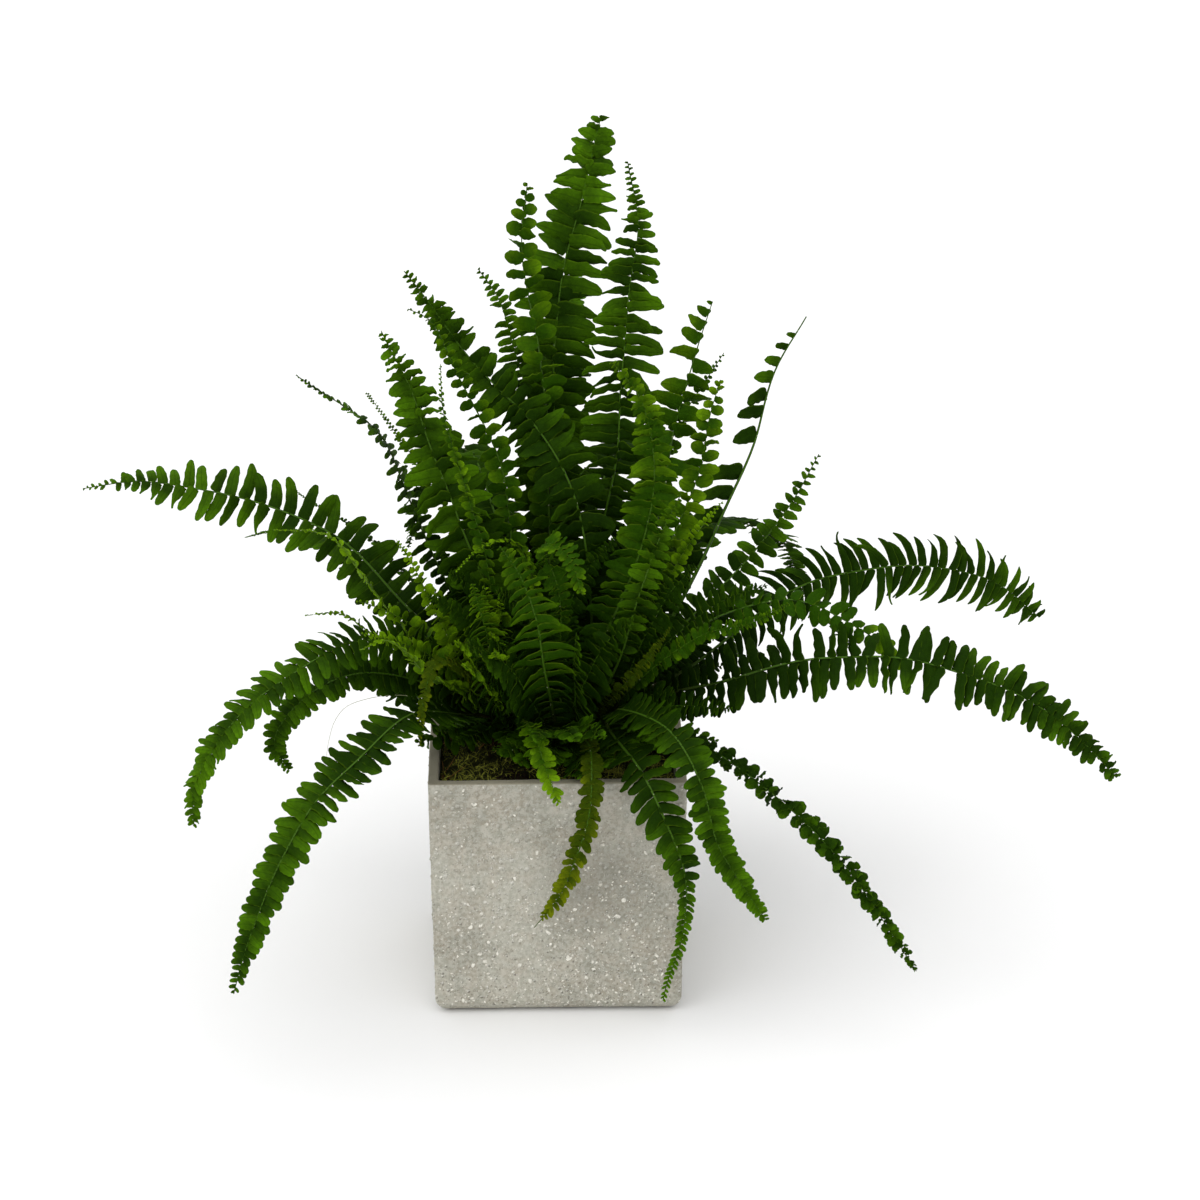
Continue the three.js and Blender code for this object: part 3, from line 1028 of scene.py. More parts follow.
@dataclass
class StrandModel:
    """A thin three-sided strand of unit length, for moss, hairs and dry blades."""

    rings: int = 4
    taper: float = 0.85
    point: float = 0.3
    odd_way: Triple = (0.31, 0.2, 0.93)

    def __post_init__(self) -> None:
        """Model the strand by extruding a triangle upwards."""
        deselect_all()
        bpy.ops.mesh.primitive_circle_add(vertices=3, radius=1, fill_type="NGON")
        piece = bpy.context.object
        with editing(piece):
            bpy.ops.mesh.select_all(action="SELECT")
            bpy.ops.mesh.flip_normals()
            for ring in range(1, self.rings + 1):
                pick("VERT", lambda vertex: vertex.co.z > (ring - 1.5) / self.rings)
                step = {"value": (0, 0, 1 / self.rings)}
                bpy.ops.mesh.extrude_region_move(TRANSFORM_OT_translate=step)
                shrink = self.taper if ring < self.rings else self.point
                bpy.ops.transform.resize(value=(shrink, shrink, 1))
            make_solid()
        self.model = Model.taken_from(piece)

    def grown(self, rng: Draws, foot: Array, heading: Array, kind: StrandKind) -> Array:
        """The points of one strand along a bent line.

        Args:
            rng: its random draws.
            foot: where it starts.
            heading: the unit vector that it starts along.
            kind: its sizes.

        Returns:
            Its points.
        """
        length = rng.uniform(*kind.lengths) * MM
        bend = np.array([*rng.normal(0, kind.sway, 2), -kind.sag])
        radius = rng.uniform(*kind.radii) * MM
        along = self.model.points[:, 2:3]
        side = normalised(np.cross(heading, self.odd_way))
        other = np.cross(heading, side)
        middle = foot + (heading * along + bend * along**2) * length
        return middle + (side * self.model.points[:, :1] + other * self.model.points[:, 1:2]) * radius


@dataclass(frozen=True)
class Bed:
    """The mossy bed in the pot: a lumpy pad, loose strands, soil crumbs and dry blades."""

    mesh_step: float = 2.4 * MM
    thickness: float = 8.5 * MM
    wall_gap: float = 0.4 * MM
    patch: Pair = (-24 * MM, -58 * MM)
    patch_reach: float = 20 * MM
    patch_squash: float = 1.4
    patch_edge: Pair = (1.6, 1.3)
    cushions: int = 90
    cushion_sizes: Pair = (6, 13)
    swell: float = 3.2
    sink: float = 2.2
    slope_at_wall: float = 5 * MM
    lumps: Pair = (3 * MM, 0.8 * MM)
    smooth_angle: float = 70
    strands: int = 5200
    strand_margin: float = 1.5 * MM
    inner_gap: float = 0.2 * MM
    strands_missing: float = 0.85
    strand_lean: float = 0.75
    dull_share: int = 4
    palest: float = 1.6
    moss_strand: StrandKind = StrandKind((2.5, 6.5), (0.18, 0.42), 0.5, 0.25)
    crumbs: int = 650
    crumbs_in_patch: float = 0.75
    crumb_sizes: Pair = (0.5, 1.7)
    crumb_lumps: Pair = (0.6, 1.2)
    crumb_margin: float = 2 * MM
    crumb_scatter: float = 0.45
    crumb_sharp: float = 30
    dry_blades: int = 30
    by_wall: int = 14
    dry_margin: float = 8 * MM
    wall_strip: tuple[Pair, Pair] = ((1, 6), (-66, 10))
    dry_rise: Pair = (0.05, 0.35)
    dry_blade: StrandKind = StrandKind((8, 22), (0.3, 0.7), 0.15, 0.05)

    @property
    def reach(self) -> float:
        """From the middle of the bed to its side."""
        return POT.side_at(MOSS_TOP) / 2 - POT.wall - self.wall_gap

    def bareness(self, x: float, y: float) -> float:
        """How bare the moss is at a place, from 0 to 1."""
        away = math.hypot(x - self.patch[0], (y - self.patch[1]) * self.patch_squash) / self.patch_reach
        return max(0.0, min(1.0, self.patch_edge[0] - self.patch_edge[1] * away))

    def build_pad(self, finish: Material) -> Object:
        """Model the pad as a block whose top swells in cushions.

        Args:
            finish: the moss.

        Returns:
            The pad.
        """
        deselect_all()
        side = 2 * self.reach
        bpy.ops.mesh.primitive_cube_add(
            size=1, location=(0, 0, MOSS_TOP - self.thickness / 2), scale=(side, side, self.thickness)
        )
        piece = settle(bpy.context.object, "moss_pad")
        with editing(piece):
            for axis in (0, 1):
                cut_in_slices(axis, -self.reach, self.reach, self.mesh_step)
        self.raise_cushions(piece)
        displace(piece, *self.lumps)
        smooth_by_angle(piece, self.smooth_angle)
        piece.data.materials.append(finish)
        growth = piece.data.attributes.new("growth", "FLOAT_VECTOR", "POINT")
        values = [(0.0, 1.0 - self.bareness(point.co.x, point.co.y), 0.0) for point in piece.data.vertices]
        growth.data.foreach_set("vector", np.array(values, np.float32).ravel())
        return piece

    def raise_cushions(self, piece: Object) -> None:
        """Swell the pad's top in cushions, and sink it at the bare patch.

        Args:
            piece: the pad.
        """
        rng = draws(1)
        cushions = [
            (*rng.uniform(-self.reach, self.reach, 2), rng.uniform(*self.cushion_sizes) * MM)
            for _ in range(self.cushions)
        ]
        for vertex in piece.data.vertices:
            x, y, z = vertex.co
            if z < MOSS_TOP - 1 * MM:
                continue
            swell = max(math.exp(-(((x - cx) ** 2 + (y - cy) ** 2) / size**2)) for cx, cy, size in cushions)
            slope = min(1.0, (self.reach - max(abs(x), abs(y))) / self.slope_at_wall)
            bare = self.bareness(x, y)
            vertex.co.z += (self.swell * swell * (1 - bare) - self.sink * bare) * MM * slope

    def build_strands(self, ground: Object, strand: StrandModel, finish: Material) -> Object:
        """Strew loose moss strands over the pad.

        Args:
            ground: the pad.
            strand: the strand's model.
            finish: their material.

        Returns:
            The strands as one piece.
        """
        rng = draws(2)
        gathering = Gathering()
        reach = self.reach - self.strand_margin
        for _ in range(self.strands):
            x, y = rng.uniform(-reach, reach, 2)
            if rng.random() < self.bareness(x, y) * self.strands_missing:
                continue
            heading = normalised(np.array([*rng.normal(0, self.strand_lean, 2), 1.0]))
            points = strand.grown(rng, self.on_ground(ground, x, y), heading, self.moss_strand)
            self.keep_in(points)
            pale = rng.random() ** self.dull_share * self.palest
            gathering.add_plain(points, strand.model, pale, long=True)
        return gathering.piece("moss_strands", [finish])

    def build_crumbs(self, ground: Object, finish: Material) -> Object:
        """Strew soil crumbs over the bare patch and a few between the cushions.

        Args:
            ground: the pad.
            finish: their material.

        Returns:
            The crumbs as one piece.
        """
        model = Model.lump()
        rng = draws(3)
        gathering = Gathering()
        limit = self.reach - self.crumb_margin
        for _ in range(self.crumbs):
            if rng.random() < self.crumbs_in_patch:
                x, y = rng.normal(self.patch, self.patch_reach * self.crumb_scatter)
            else:
                x, y = rng.uniform(-self.reach, self.reach, 2)
            foot = self.on_ground(ground, min(max(x, -limit), limit), min(max(y, -limit), limit))
            size = rng.uniform(*self.crumb_sizes) * MM
            lump = model.points * rng.uniform(*self.crumb_lumps, (len(model.points), 1))
            lump = lump * rng.uniform(*self.crumb_lumps, 3)
            gathering.add_plain(foot + lump * size, model, rng.random())
        return gathering.piece("soil_crumbs", [finish], self.crumb_sharp)

    def build_dry_blades(self, ground: Object, strand: StrandModel, finish: Material) -> Object:
        """Lay dry brown blades along the pot's inner wall and on the moss.

        Args:
            ground: the pad.
            strand: the blade's model.
            finish: their material.

        Returns:
            The blades as one piece.
        """
        rng = draws(4)
        gathering = Gathering()
        reach = self.reach - self.dry_margin
        for number in range(self.dry_blades):
            if number < self.by_wall:
                out, y = (rng.uniform(*span) * MM for span in self.wall_strip)
                x = -self.reach + out
            else:
                x, y = rng.uniform(-reach, reach, 2)
            heading = np.array([rng.normal(0, 0.5), rng.normal(0, 1), rng.uniform(*self.dry_rise)])
            foot = self.on_ground(ground, x, y)
            points = strand.grown(rng, foot, normalised(heading), self.dry_blade)
            self.keep_in(points)
            gathering.add_plain(points, strand.model, rng.random(), long=True)
        return gathering.piece("dry_blades", [finish])

    def on_ground(self, ground: Object, x: float, y: float) -> Array:
        """The point of the pad's top above a place."""
        point = point_below(ground, x, y, MOSS_TOP + 60 * MM)
        return np.array([x, y, MOSS_TOP]) if point is None else point

    def keep_in(self, points: Array) -> None:
        """Hold points inside the pot's walls."""
        limit = self.reach - self.inner_gap
        points[:, :2] = np.clip(points[:, :2], -limit, limit)


@dataclass(frozen=True)
class Rootstock:
    """A crown as a lumpy mound with brown hairs."""

    sunk: float = 9 * MM
    margin: float = 1.2 * MM
    segments: int = 36
    rings: int = 20
    lumps: Pair = (5 * MM, 3 * MM)
    hairs: int = 260
    hair: StrandKind = StrandKind((3, 9), (0.25, 0.55), 0.4, 0.2)
    hair_reach: float = 0.95
    hair_rise: float = 0.8
    hair_unrest: float = 0.35

    def build_mound(self, crown: Crown, finish: Material) -> Object:
        """Model one crown's mound, standing in the moss.

        Args:
            crown: the crown.
            finish: its material.

        Returns:
            The mound.
        """
        place = crown.value
        bottom = MOSS_TOP - self.sunk
        radius = place.radius - self.margin
        deselect_all()
        bpy.ops.mesh.primitive_uv_sphere_add(segments=self.segments, ring_count=self.rings, radius=1)
        piece = bpy.context.object
        piece.scale = (radius, radius, CROWN_TOP - bottom)
        piece.location = (place.x, place.y, bottom)
        settle(piece, f"rootstock_{crown.name.lower()}")
        with editing(piece):
            bpy.ops.mesh.select_all(action="SELECT")
            bpy.ops.mesh.bisect(plane_co=(0, 0, bottom), plane_no=(0, 0, 1), clear_inner=True, use_fill=True)
        displace(piece, *self.lumps)
        smooth_by_angle(piece)
        piece.data.materials.append(finish)
        return piece

    def build_hairs(self, mounds: dict[Crown, Object], strand: StrandModel, finish: Material) -> Object:
        """Cover the mounds with short brown hairs that point up and out.

        Args:
            mounds: the mound of each crown.
            strand: the hair's model.
            finish: their material.

        Returns:
            The hairs as one piece.
        """
        rng = draws(5)
        gathering = Gathering()
        for crown, mound in mounds.items():
            place = crown.value
            for _ in range(self.hairs):
                turn = rng.random() * TURN
                out = math.sqrt(rng.random()) * place.radius * self.hair_reach
                x, y = place.x + out * math.cos(turn), place.y + out * math.sin(turn)
                foot = point_below(mound, x, y, CROWN_TOP + 50 * MM)
                if foot is None:
                    continue
                spread = out / place.radius
                heading = np.array([math.cos(turn) * spread, math.sin(turn) * spread, self.hair_rise])
                heading = normalised(heading + rng.normal(0, self.hair_unrest, 3))
                points = strand.grown(rng, foot, heading, self.hair)
                gathering.add_plain(points, strand.model, rng.random(), long=True)
        return gathering.piece("rootstock_hairs", [finish])


# Fronds.


class Facing(Enum):
    """Ways that a frond's upper side faces."""

    FRONT = (0.0, -1.0, 0.35)
    FRONT_UP = (0.0, -0.8, 0.7)
    LEFT_FRONT_UP = (-0.3, -0.7, 0.7)
    LEFT_FRONT = (-0.8, -0.8, 0.2)
    SKY = (0.0, 0.0, 1.0)


class Tone(Enum):
    """The greens of the fronds, by their slots in the record."""

    DEEP = "frond_deep"
    FRESH = "frond_fresh"
    OLIVE = "frond_olive"


class Outline(Enum):
    """Outlines of a leaflet, as its width at shares of its length, against its widest."""

    BLUNT = (
        (0, 0.78), (0.12, 0.95), (0.35, 1), (0.6, 0.93), (0.8, 0.78), (0.9, 0.62), (0.96, 0.44), (1, 0.2),
    )
    POINTED = (
        (0, 0.86), (0.15, 1), (0.4, 1), (0.6, 0.9), (0.76, 0.7), (0.88, 0.48), (0.95, 0.28), (1, 0.1),
    )
    TAILED = (
        (0, 0.86), (0.2, 1), (0.42, 0.9), (0.6, 0.62), (0.74, 0.34), (0.86, 0.2), (0.95, 0.24), (1, 0.12),
    )
    ROUND = ((0, 0.42), (0.18, 0.86), (0.42, 1), (0.68, 0.92), (0.86, 0.68), (0.95, 0.42), (1, 0.16))


class Shape(Enum):
    """Shapes of a frond, as its width at shares of its leafy length, against its widest."""

    FULL = ((0, 0.5), (0.25, 0.88), (0.5, 1), (0.75, 0.96), (0.9, 0.72), (0.96, 0.46), (1, 0.2))
    TAPERED = ((0, 0.55), (0.25, 0.95), (0.45, 1), (0.65, 0.84), (0.82, 0.56), (0.93, 0.3), (1, 0.12))
    SLENDER = (
        (0, 0.7), (0.15, 0.95), (0.35, 1), (0.55, 0.9), (0.75, 0.68), (0.9, 0.46), (0.97, 0.28), (1, 0.16),
    )
    THIN_TIPPED = ((0, 0.6), (0.3, 1), (0.65, 0.97), (0.8, 0.7), (0.9, 0.32), (0.96, 0.15), (1, 0.08))
    TAILED = ((0, 0.6), (0.2, 0.95), (0.38, 1), (0.52, 0.74), (0.64, 0.36), (0.85, 0.24), (1, 0.14))


@dataclass(frozen=True)
class Habit:
    """How a frond's leaflets are shaped and held.

    Attributes:
        outline: their outline.
        width: their width as a share of the frond's reach.
        pitch: from one to the next on one side, as a share of the frond's reach.
        lean: their angle to the stalk, in degrees.
        droop: how much they hang.
        hook: how much their tips bend towards the frond's tip.
        cup: how far their margins bend down, in widths.
        wave: how far their margins wave, in widths.
        unrest: how unevenly they are turned, in degrees.
        tilt: how far they are turned about themselves, in degrees, tip side up.
        tailed: the share of them that end in a thin curled tail.
        blunted: the share of them that end blunt, whatever the outline.
    """

    outline: Outline
    width: float
    pitch: float
    lean: float
    droop: float
    hook: float
    cup: float = 0.12
    wave: float = 0.05
    unrest: float = 11.0
    tilt: float = 0.0
    tailed: float = 0.0
    blunted: float = 0.0


BROAD = Habit(Outline.BLUNT, 0.34, 0.31, 78, 0.45, 0.2, tilt=14, tailed=0.1)
SLATTED = Habit(
    Outline.BLUNT, 0.29, 0.285, 88, 0.5, 0.0, cup=0.18, wave=0.14, unrest=13, tilt=18, tailed=0.15
)
LOOSE = Habit(
    Outline.POINTED, 0.38, 0.31, 82, 0.6, 0.1,
    cup=0.18, wave=0.12, unrest=15, tilt=12, tailed=0.2, blunted=0.45,
)
STRAP = Habit(Outline.BLUNT, 0.33, 0.4, 84, 0.45, 0.15, unrest=13, tilt=12, tailed=0.1)
ARCHED = Habit(Outline.POINTED, 0.3, 0.37, 74, 0.85, 0.0, cup=0.2, tilt=12, tailed=0.08, blunted=0.3)
NARROW = Habit(Outline.POINTED, 0.2, 0.245, 102, 0.35, -1.2, cup=0.2, unrest=14, tilt=22, tailed=0.25)
SHINGLED = Habit(Outline.BLUNT, 0.42, 0.34, 88, 0.25, 0.1, cup=0.22, unrest=7, tilt=14)
SPARSE = Habit(Outline.POINTED, 0.5, 0.56, 78, 0.6, 0.15, unrest=18, tilt=8, blunted=0.3)
DANGLING = Habit(
    Outline.POINTED, 0.42, 0.6, 106, 0.6, -0.2, cup=0.18, wave=0.1, unrest=16, tilt=10, blunted=0.3
)
THUMBS = Habit(Outline.BLUNT, 0.42, 0.42, 76, 0.45, 0.1, cup=0.2, unrest=12, tilt=14)
PLUMP = Habit(Outline.ROUND, 0.55, 0.62, 74, 0.8, 0.1, cup=0.18, unrest=18, tilt=14)
SMALL = Habit(Outline.ROUND, 0.72, 0.75, 74, 0.35, 0.1, unrest=22, tilt=8)
SCALLOPED = Habit(Outline.BLUNT, 0.78, 0.52, 72, 0.3, 0.1, wave=0.1, unrest=16)
TWISTED = Habit(Outline.ROUND, 0.9, 0.5, 74, 0.45, 0.1, wave=0.14, unrest=36)


class Sides(Enum):
    """Which sides of its stalk a frond's leaflets show on, seen from its upper side."""

    BOTH = (1.0, 1.0)
    RIGHT = (1.0, 0.0)
    LEFT = (0.0, 1.0)
    MOSTLY_LEFT = (0.4, 1.0)


@dataclass(frozen=True)
class Frond:
    """One frond.

    Attributes:
        crown: the crown that it grows from.
        foot: its foot on the crown, as an angle in degrees from +X and a distance in millimetres.
        reach: from its stalk to the tip of its longest leaflets, in millimetres.
        facing: where its upper side faces.
        tone: its green.
        habit: its leaflets.
        path: the points that it passes, as x, y and height above the rim, in millimetres.
        light: how much lighter than its tone it is, partly its own tone and partly painted shade, low where
            it lies in the tuft's shade.
        tip_light: how much lighter it grows towards its tip, partly paler young growth and partly painted
            light through the thin tips.
        sides: which sides its leaflets show on.
        bare_foot: the share of its length that is bare at the foot.
        bare_tip: the share that is bare at the tip.
        shape: how its width goes from foot to tip.
        stalk: the thickness of its stalk, against a usual one.
    """

    crown: Crown
    foot: Pair
    reach: float
    facing: Facing
    tone: Tone
    habit: Habit
    path: tuple[Triple, ...]
    light: float = 0.0
    tip_light: float = 0.3
    sides: Sides = Sides.BOTH
    bare_foot: float = 0.12
    bare_tip: float = 0.0
    shape: Shape = Shape.TAPERED
    stalk: float = 1.0


UPRIGHT_FRONDS = (
    Frond(Crown.BACK, (80, 3), 27, Facing.FRONT, Tone.DEEP, LOOSE, (
        (-2, 50, 139), (0, 54, 223), (6, 62, 280), (18, 72, 332), (30, 84, 378),
    ), shape=Shape.FULL, light=0.06),
    Frond(Crown.BACK, (20, 9), 25, Facing.FRONT, Tone.DEEP, SLATTED, (
        (36, 38, 156), (43, 42, 227), (49, 50, 285), (52, 58, 321), (46, 66, 354),
    ), shape=Shape.THIN_TIPPED),
    Frond(Crown.BACK, (250, 10), 15, Facing.FRONT, Tone.FRESH, SMALL, (
        (-3, 36, 156), (-8, 36, 229), (-14, 36, 274), (-19, 34, 317), (-16, 30, 350),
    ), shape=Shape.FULL, light=-0.1, tip_light=0.15),
    Frond(Crown.BACK, (150, 10), 19, Facing.FRONT, Tone.DEEP, ARCHED, (
        (-4, 72, 156), (-15, 80, 196), (-25, 86, 226), (-34, 96, 257), (-48, 108, 276),
    ), light=0.1),
    Frond(Crown.RIGHT, (160, 5.5), 23, Facing.FRONT, Tone.DEEP, LOOSE, (
        (22, 12, 86), (15, 12, 148), (-11, 24, 194), (-49, 38, 234), (-74, 42, 269), (-92, 42, 291),
    ), light=-0.2, tip_light=0.6),
    Frond(Crown.LEFT, (60, 5.5), 12, Facing.FRONT, Tone.FRESH, SMALL, (
        (-34, 6, 181), (-61, 12, 238), (-76, 12, 268), (-90, 10, 276),
    ), light=-0.15),
    Frond(Crown.LEFT, (310, 5.5), 27, Facing.FRONT, Tone.DEEP, LOOSE, (
        (-41, -6, 93), (-62, -8, 150), (-77, -8, 200), (-89, -10, 237), (-105, -14, 270),
    ), tip_light=0.4, light=0.08),
    Frond(Crown.LEFT, (105, 11.5), 5, Facing.FRONT, Tone.FRESH, SMALL, (
        (-66, 14, 139), (-90, 18, 184), (-106, 20, 208), (-116, 20, 221),
    ), stalk=0.7),
    Frond(Crown.LEFT, (285, 11.5), 8, Facing.LEFT_FRONT, Tone.FRESH, SMALL, (
        (-41, -20, 117), (-57, -26, 179), (-66, -26, 214), (-68, -24, 253),
    ), stalk=0.8, light=-0.1),
    Frond(Crown.RIGHT, (110, 12), 21, Facing.FRONT, Tone.FRESH, SPARSE, (
        (63, 24, 134), (77, 36, 193), (88, 44, 233), (98, 50, 269),
    ), sides=Sides.MOSTLY_LEFT, shape=Shape.FULL, light=-0.12),
    Frond(Crown.BACK, (45, 14), 10, Facing.FRONT, Tone.DEEP, SMALL, (
        (60, 50, 125), (79, 64, 184), (93, 76, 205), (108, 86, 225),
    )),
    Frond(Crown.RIGHT, (88, 5.5), 12, Facing.FRONT, Tone.FRESH, SMALL, (
        (53, 6, 80), (78, 10, 138), (89, 14, 170), (97, 18, 206), (103, 20, 228),
    ), shape=Shape.FULL),
    Frond(Crown.FRONT, (60, 10), 19, Facing.FRONT, Tone.FRESH, LOOSE, (
        (30, -16, 70), (54, -20, 137), (61, -28, 198), (51, -36, 235), (34, -40, 258),
    ), light=-0.12, tip_light=0.2),
)
LEFT_FRONDS = (
    Frond(Crown.LEFT, (170, 5.5), 24, Facing.FRONT_UP, Tone.DEEP, STRAP, (
        (-92, 24, 75), (-137, 38, 118), (-197, 50, 142), (-255, 58, 150), (-299, 62, 144),
    ), shape=Shape.THIN_TIPPED, tip_light=0.45),
    Frond(Crown.LEFT, (188, 11.5), 9, Facing.SKY, Tone.FRESH, SMALL, (
        (-79, -12, 55), (-118, -24, 113), (-138, -30, 144), (-172, -36, 151),
    ), light=0.35, stalk=0.6),
    Frond(Crown.BACK, (165, 15), 5, Facing.SKY, Tone.DEEP, SMALL, (
        (-80, 60, 67), (-117, 88, 98), (-146, 106, 112), (-170, 120, 123),
    ), stalk=0.6),
    Frond(Crown.LEFT, (222, 11.5), 8, Facing.FRONT_UP, Tone.FRESH, SMALL, (
        (-54, -22, 48), (-78, -42, 106), (-92, -53, 141), (-97, -60, 154),
    ), light=0.35, stalk=0.6),
    Frond(Crown.LEFT, (165, 17), 7, Facing.SKY, Tone.FRESH, SMALL, (
        (-70, 6, 25), (-111, 4, 62), (-135, 2, 81), (-158, 0, 82),
    ), stalk=0.5, light=0.2),
    Frond(Crown.LEFT, (145, 11.5), 15, Facing.SKY, Tone.DEEP, STRAP, (
        (-66, 26, 89), (-91, 38, 140), (-108, 48, 180), (-133, 56, 202), (-161, 60, 221),
    )),
    Frond(Crown.LEFT, (212, 17), 20.5, Facing.LEFT_FRONT_UP, Tone.DEEP, BROAD, (
        (-66, -26, 51), (-114, -54, 85), (-163, -82, 75), (-198, -98, 48), (-219, -108, 11),
        (-221, -110, -13),
    ), shape=Shape.SLENDER, light=0.05, tip_light=0.5),
    Frond(Crown.LEFT, (189, 17), 15, Facing.FRONT_UP, Tone.DEEP, SHINGLED, (
        (-73, -14, 37), (-120, -36, 57), (-160, -54, 43), (-174, -60, 21), (-165, -60, 1),
    ), shape=Shape.SLENDER, tip_light=0.4),
    Frond(Crown.LEFT, (238, 17), 19.5, Facing.LEFT_FRONT_UP, Tone.DEEP, SHINGLED, (
        (-60, -46, 32), (-89, -84, 49), (-124, -128, 32), (-154, -158, 9), (-183, -184, -47),
        (-193, -190, -87),
    ), shape=Shape.SLENDER, tip_light=0.3),
    Frond(Crown.LEFT, (264, 17), 8, Facing.LEFT_FRONT_UP, Tone.OLIVE, SCALLOPED, (
        (-52, -46, 57), (-73, -70, 76), (-82, -88, 55), (-85, -94, 33),
    ), light=-0.3, tip_light=0.5),
    Frond(Crown.LEFT, (262, 8), 9, Facing.SKY, Tone.FRESH, SMALL, (
        (-52, -28, 40), (-79, -56, 63), (-103, -78, 96), (-119, -86, 92),
    ), light=0.3),
)
RIGHT_FRONDS = (
    Frond(Crown.RIGHT, (25, 16), 27, Facing.FRONT, Tone.DEEP, NARROW, (
        (92, 20, 40), (152, 40, 80), (220, 60, 89), (277, 72, 76), (316, 80, 45),
    ), shape=Shape.FULL, light=-0.1, tip_light=0.1),
    Frond(Crown.RIGHT, (342, 12), 26, Facing.FRONT_UP, Tone.DEEP, SLATTED, (
        (99, -18, 41), (168, -34, 62), (236, -50, 65), (300, -62, 38), (347, -70, -4),
    ), shape=Shape.SLENDER, light=-0.15, tip_light=0.2),
    Frond(Crown.RIGHT, (62, 12), 15, Facing.FRONT, Tone.DEEP, SPARSE, (
        (93, 36, 69), (129, 60, 99), (151, 76, 126), (171, 90, 155),
    ), tip_light=0.5, light=-0.1),
    Frond(Crown.RIGHT, (16, 5.5), 26, Facing.FRONT, Tone.DEEP, DANGLING, (
        (73, 26, 66), (106, 50, 124), (127, 70, 167), (141, 84, 214), (162, 90, 248),
    ), sides=Sides.LEFT, light=-0.15, bare_tip=0.02, stalk=1.4),
    Frond(Crown.RIGHT, (8, 12), 14, Facing.FRONT_UP, Tone.FRESH, PLUMP, (
        (91, 2, 72), (146, -6, 91), (190, -14, 74), (220, -20, 48),
    ), shape=Shape.SLENDER, tip_light=1.3, light=-0.85, bare_foot=0.48),
    Frond(Crown.RIGHT, (310, 12), 8, Facing.FRONT_UP, Tone.FRESH, SCALLOPED, (
        (52, -24, 45), (89, -48, 85), (121, -68, 101), (140, -80, 116),
    ), light=-0.25),
    Frond(Crown.RIGHT, (304, 5.5), 6, Facing.FRONT, Tone.FRESH, SMALL, (
        (36, -6, 37), (60, -12, 88), (83, -18, 134), (102, -20, 162),
    ), light=0.25, stalk=0.8, bare_foot=0.45),
    Frond(Crown.RIGHT, (255, 17), 5, Facing.FRONT, Tone.OLIVE, SMALL, (
        (34, -24, 32), (55, -46, 69), (70, -60, 94),
    ), stalk=0.7, light=-0.35),
    Frond(Crown.RIGHT, (328, 17.3), 8.5, Facing.FRONT_UP, Tone.DEEP, TWISTED, (
        (77, -44, 15), (101, -78, 17), (137, -112, -1), (180, -136, -41), (217, -148, -96),
    ), shape=Shape.FULL, stalk=0.8, light=-0.1),
)
FRONT_FRONDS = (
    Frond(Crown.FRONT, (200, 5), 6, Facing.SKY, Tone.FRESH, SMALL, (
        (-12, -30, 102), (-25, -48, 146), (-45, -62, 147), (-61, -75, 136),
    ), light=0.1),
    Frond(Crown.FRONT, (90, 4), 10, Facing.FRONT_UP, Tone.FRESH, SCALLOPED, (
        (3, -38, 94), (-6, -80, 157), (8, -105, 156), (16, -122, 139),
    ), light=-0.3, bare_foot=0.3, shape=Shape.FULL),
    Frond(Crown.FRONT, (265, 6), 22, Facing.FRONT, Tone.FRESH, ARCHED, (
        (-7, -54, 65), (-15, -70, 111), (-22, -80, 136), (-34, -88, 158),
    ), light=-0.2, tip_light=0.2),
    Frond(Crown.LEFT, (290, 17), 15, Facing.FRONT, Tone.FRESH, ARCHED, (
        (-38, -50, 57), (-44, -68, 98), (-52, -84, 134),
    ), light=-0.2, tip_light=0.2),
    Frond(Crown.FRONT, (15, 10), 16, Facing.LEFT_FRONT, Tone.DEEP, STRAP, (
        (12, -36, 34), (12, -48, 60), (12, -62, 92),
    ), sides=Sides.RIGHT, light=-0.1),
    Frond(Crown.RIGHT, (232, 5.5), 13, Facing.FRONT, Tone.DEEP, SPARSE, (
        (34, -18, 44), (50, -38, 103), (64, -52, 149), (75, -60, 180),
    ), light=0.1, bare_foot=0.35),
    Frond(Crown.RIGHT, (300, 17.3), 15.5, Facing.FRONT_UP, Tone.DEEP, SHINGLED, (
        (41, -50, 36), (69, -96, 39), (86, -118, 13), (97, -124, -21), (128, -120, -76),
    ), shape=Shape.SLENDER, tip_light=0.5),
    Frond(Crown.RIGHT, (278, 17.3), 18, Facing.FRONT_UP, Tone.DEEP, THUMBS, (
        (33, -50, 22), (53, -98, 13), (67, -115, -16), (77, -118, -49), (76, -112, -85),
        (66, -104, -138),
    ), shape=Shape.TAILED, light=-0.05, tip_light=0.9),
    Frond(Crown.FRONT, (310, 11), 8.5, Facing.FRONT_UP, Tone.OLIVE, SCALLOPED, (
        (19, -66, 19), (21, -98, 10), (18, -108, -16), (5, -110, -52), (-16, -108, -85),
    ), bare_tip=0.04, shape=Shape.FULL, light=-0.1, tip_light=0.4),
    Frond(Crown.FRONT, (220, 11), 9, Facing.FRONT_UP, Tone.FRESH, SCALLOPED, (
        (-18, -50, 28), (-13, -80, 31), (-7, -102, 17), (-1, -110, 0),
    ), tip_light=0.5, shape=Shape.FULL),
)
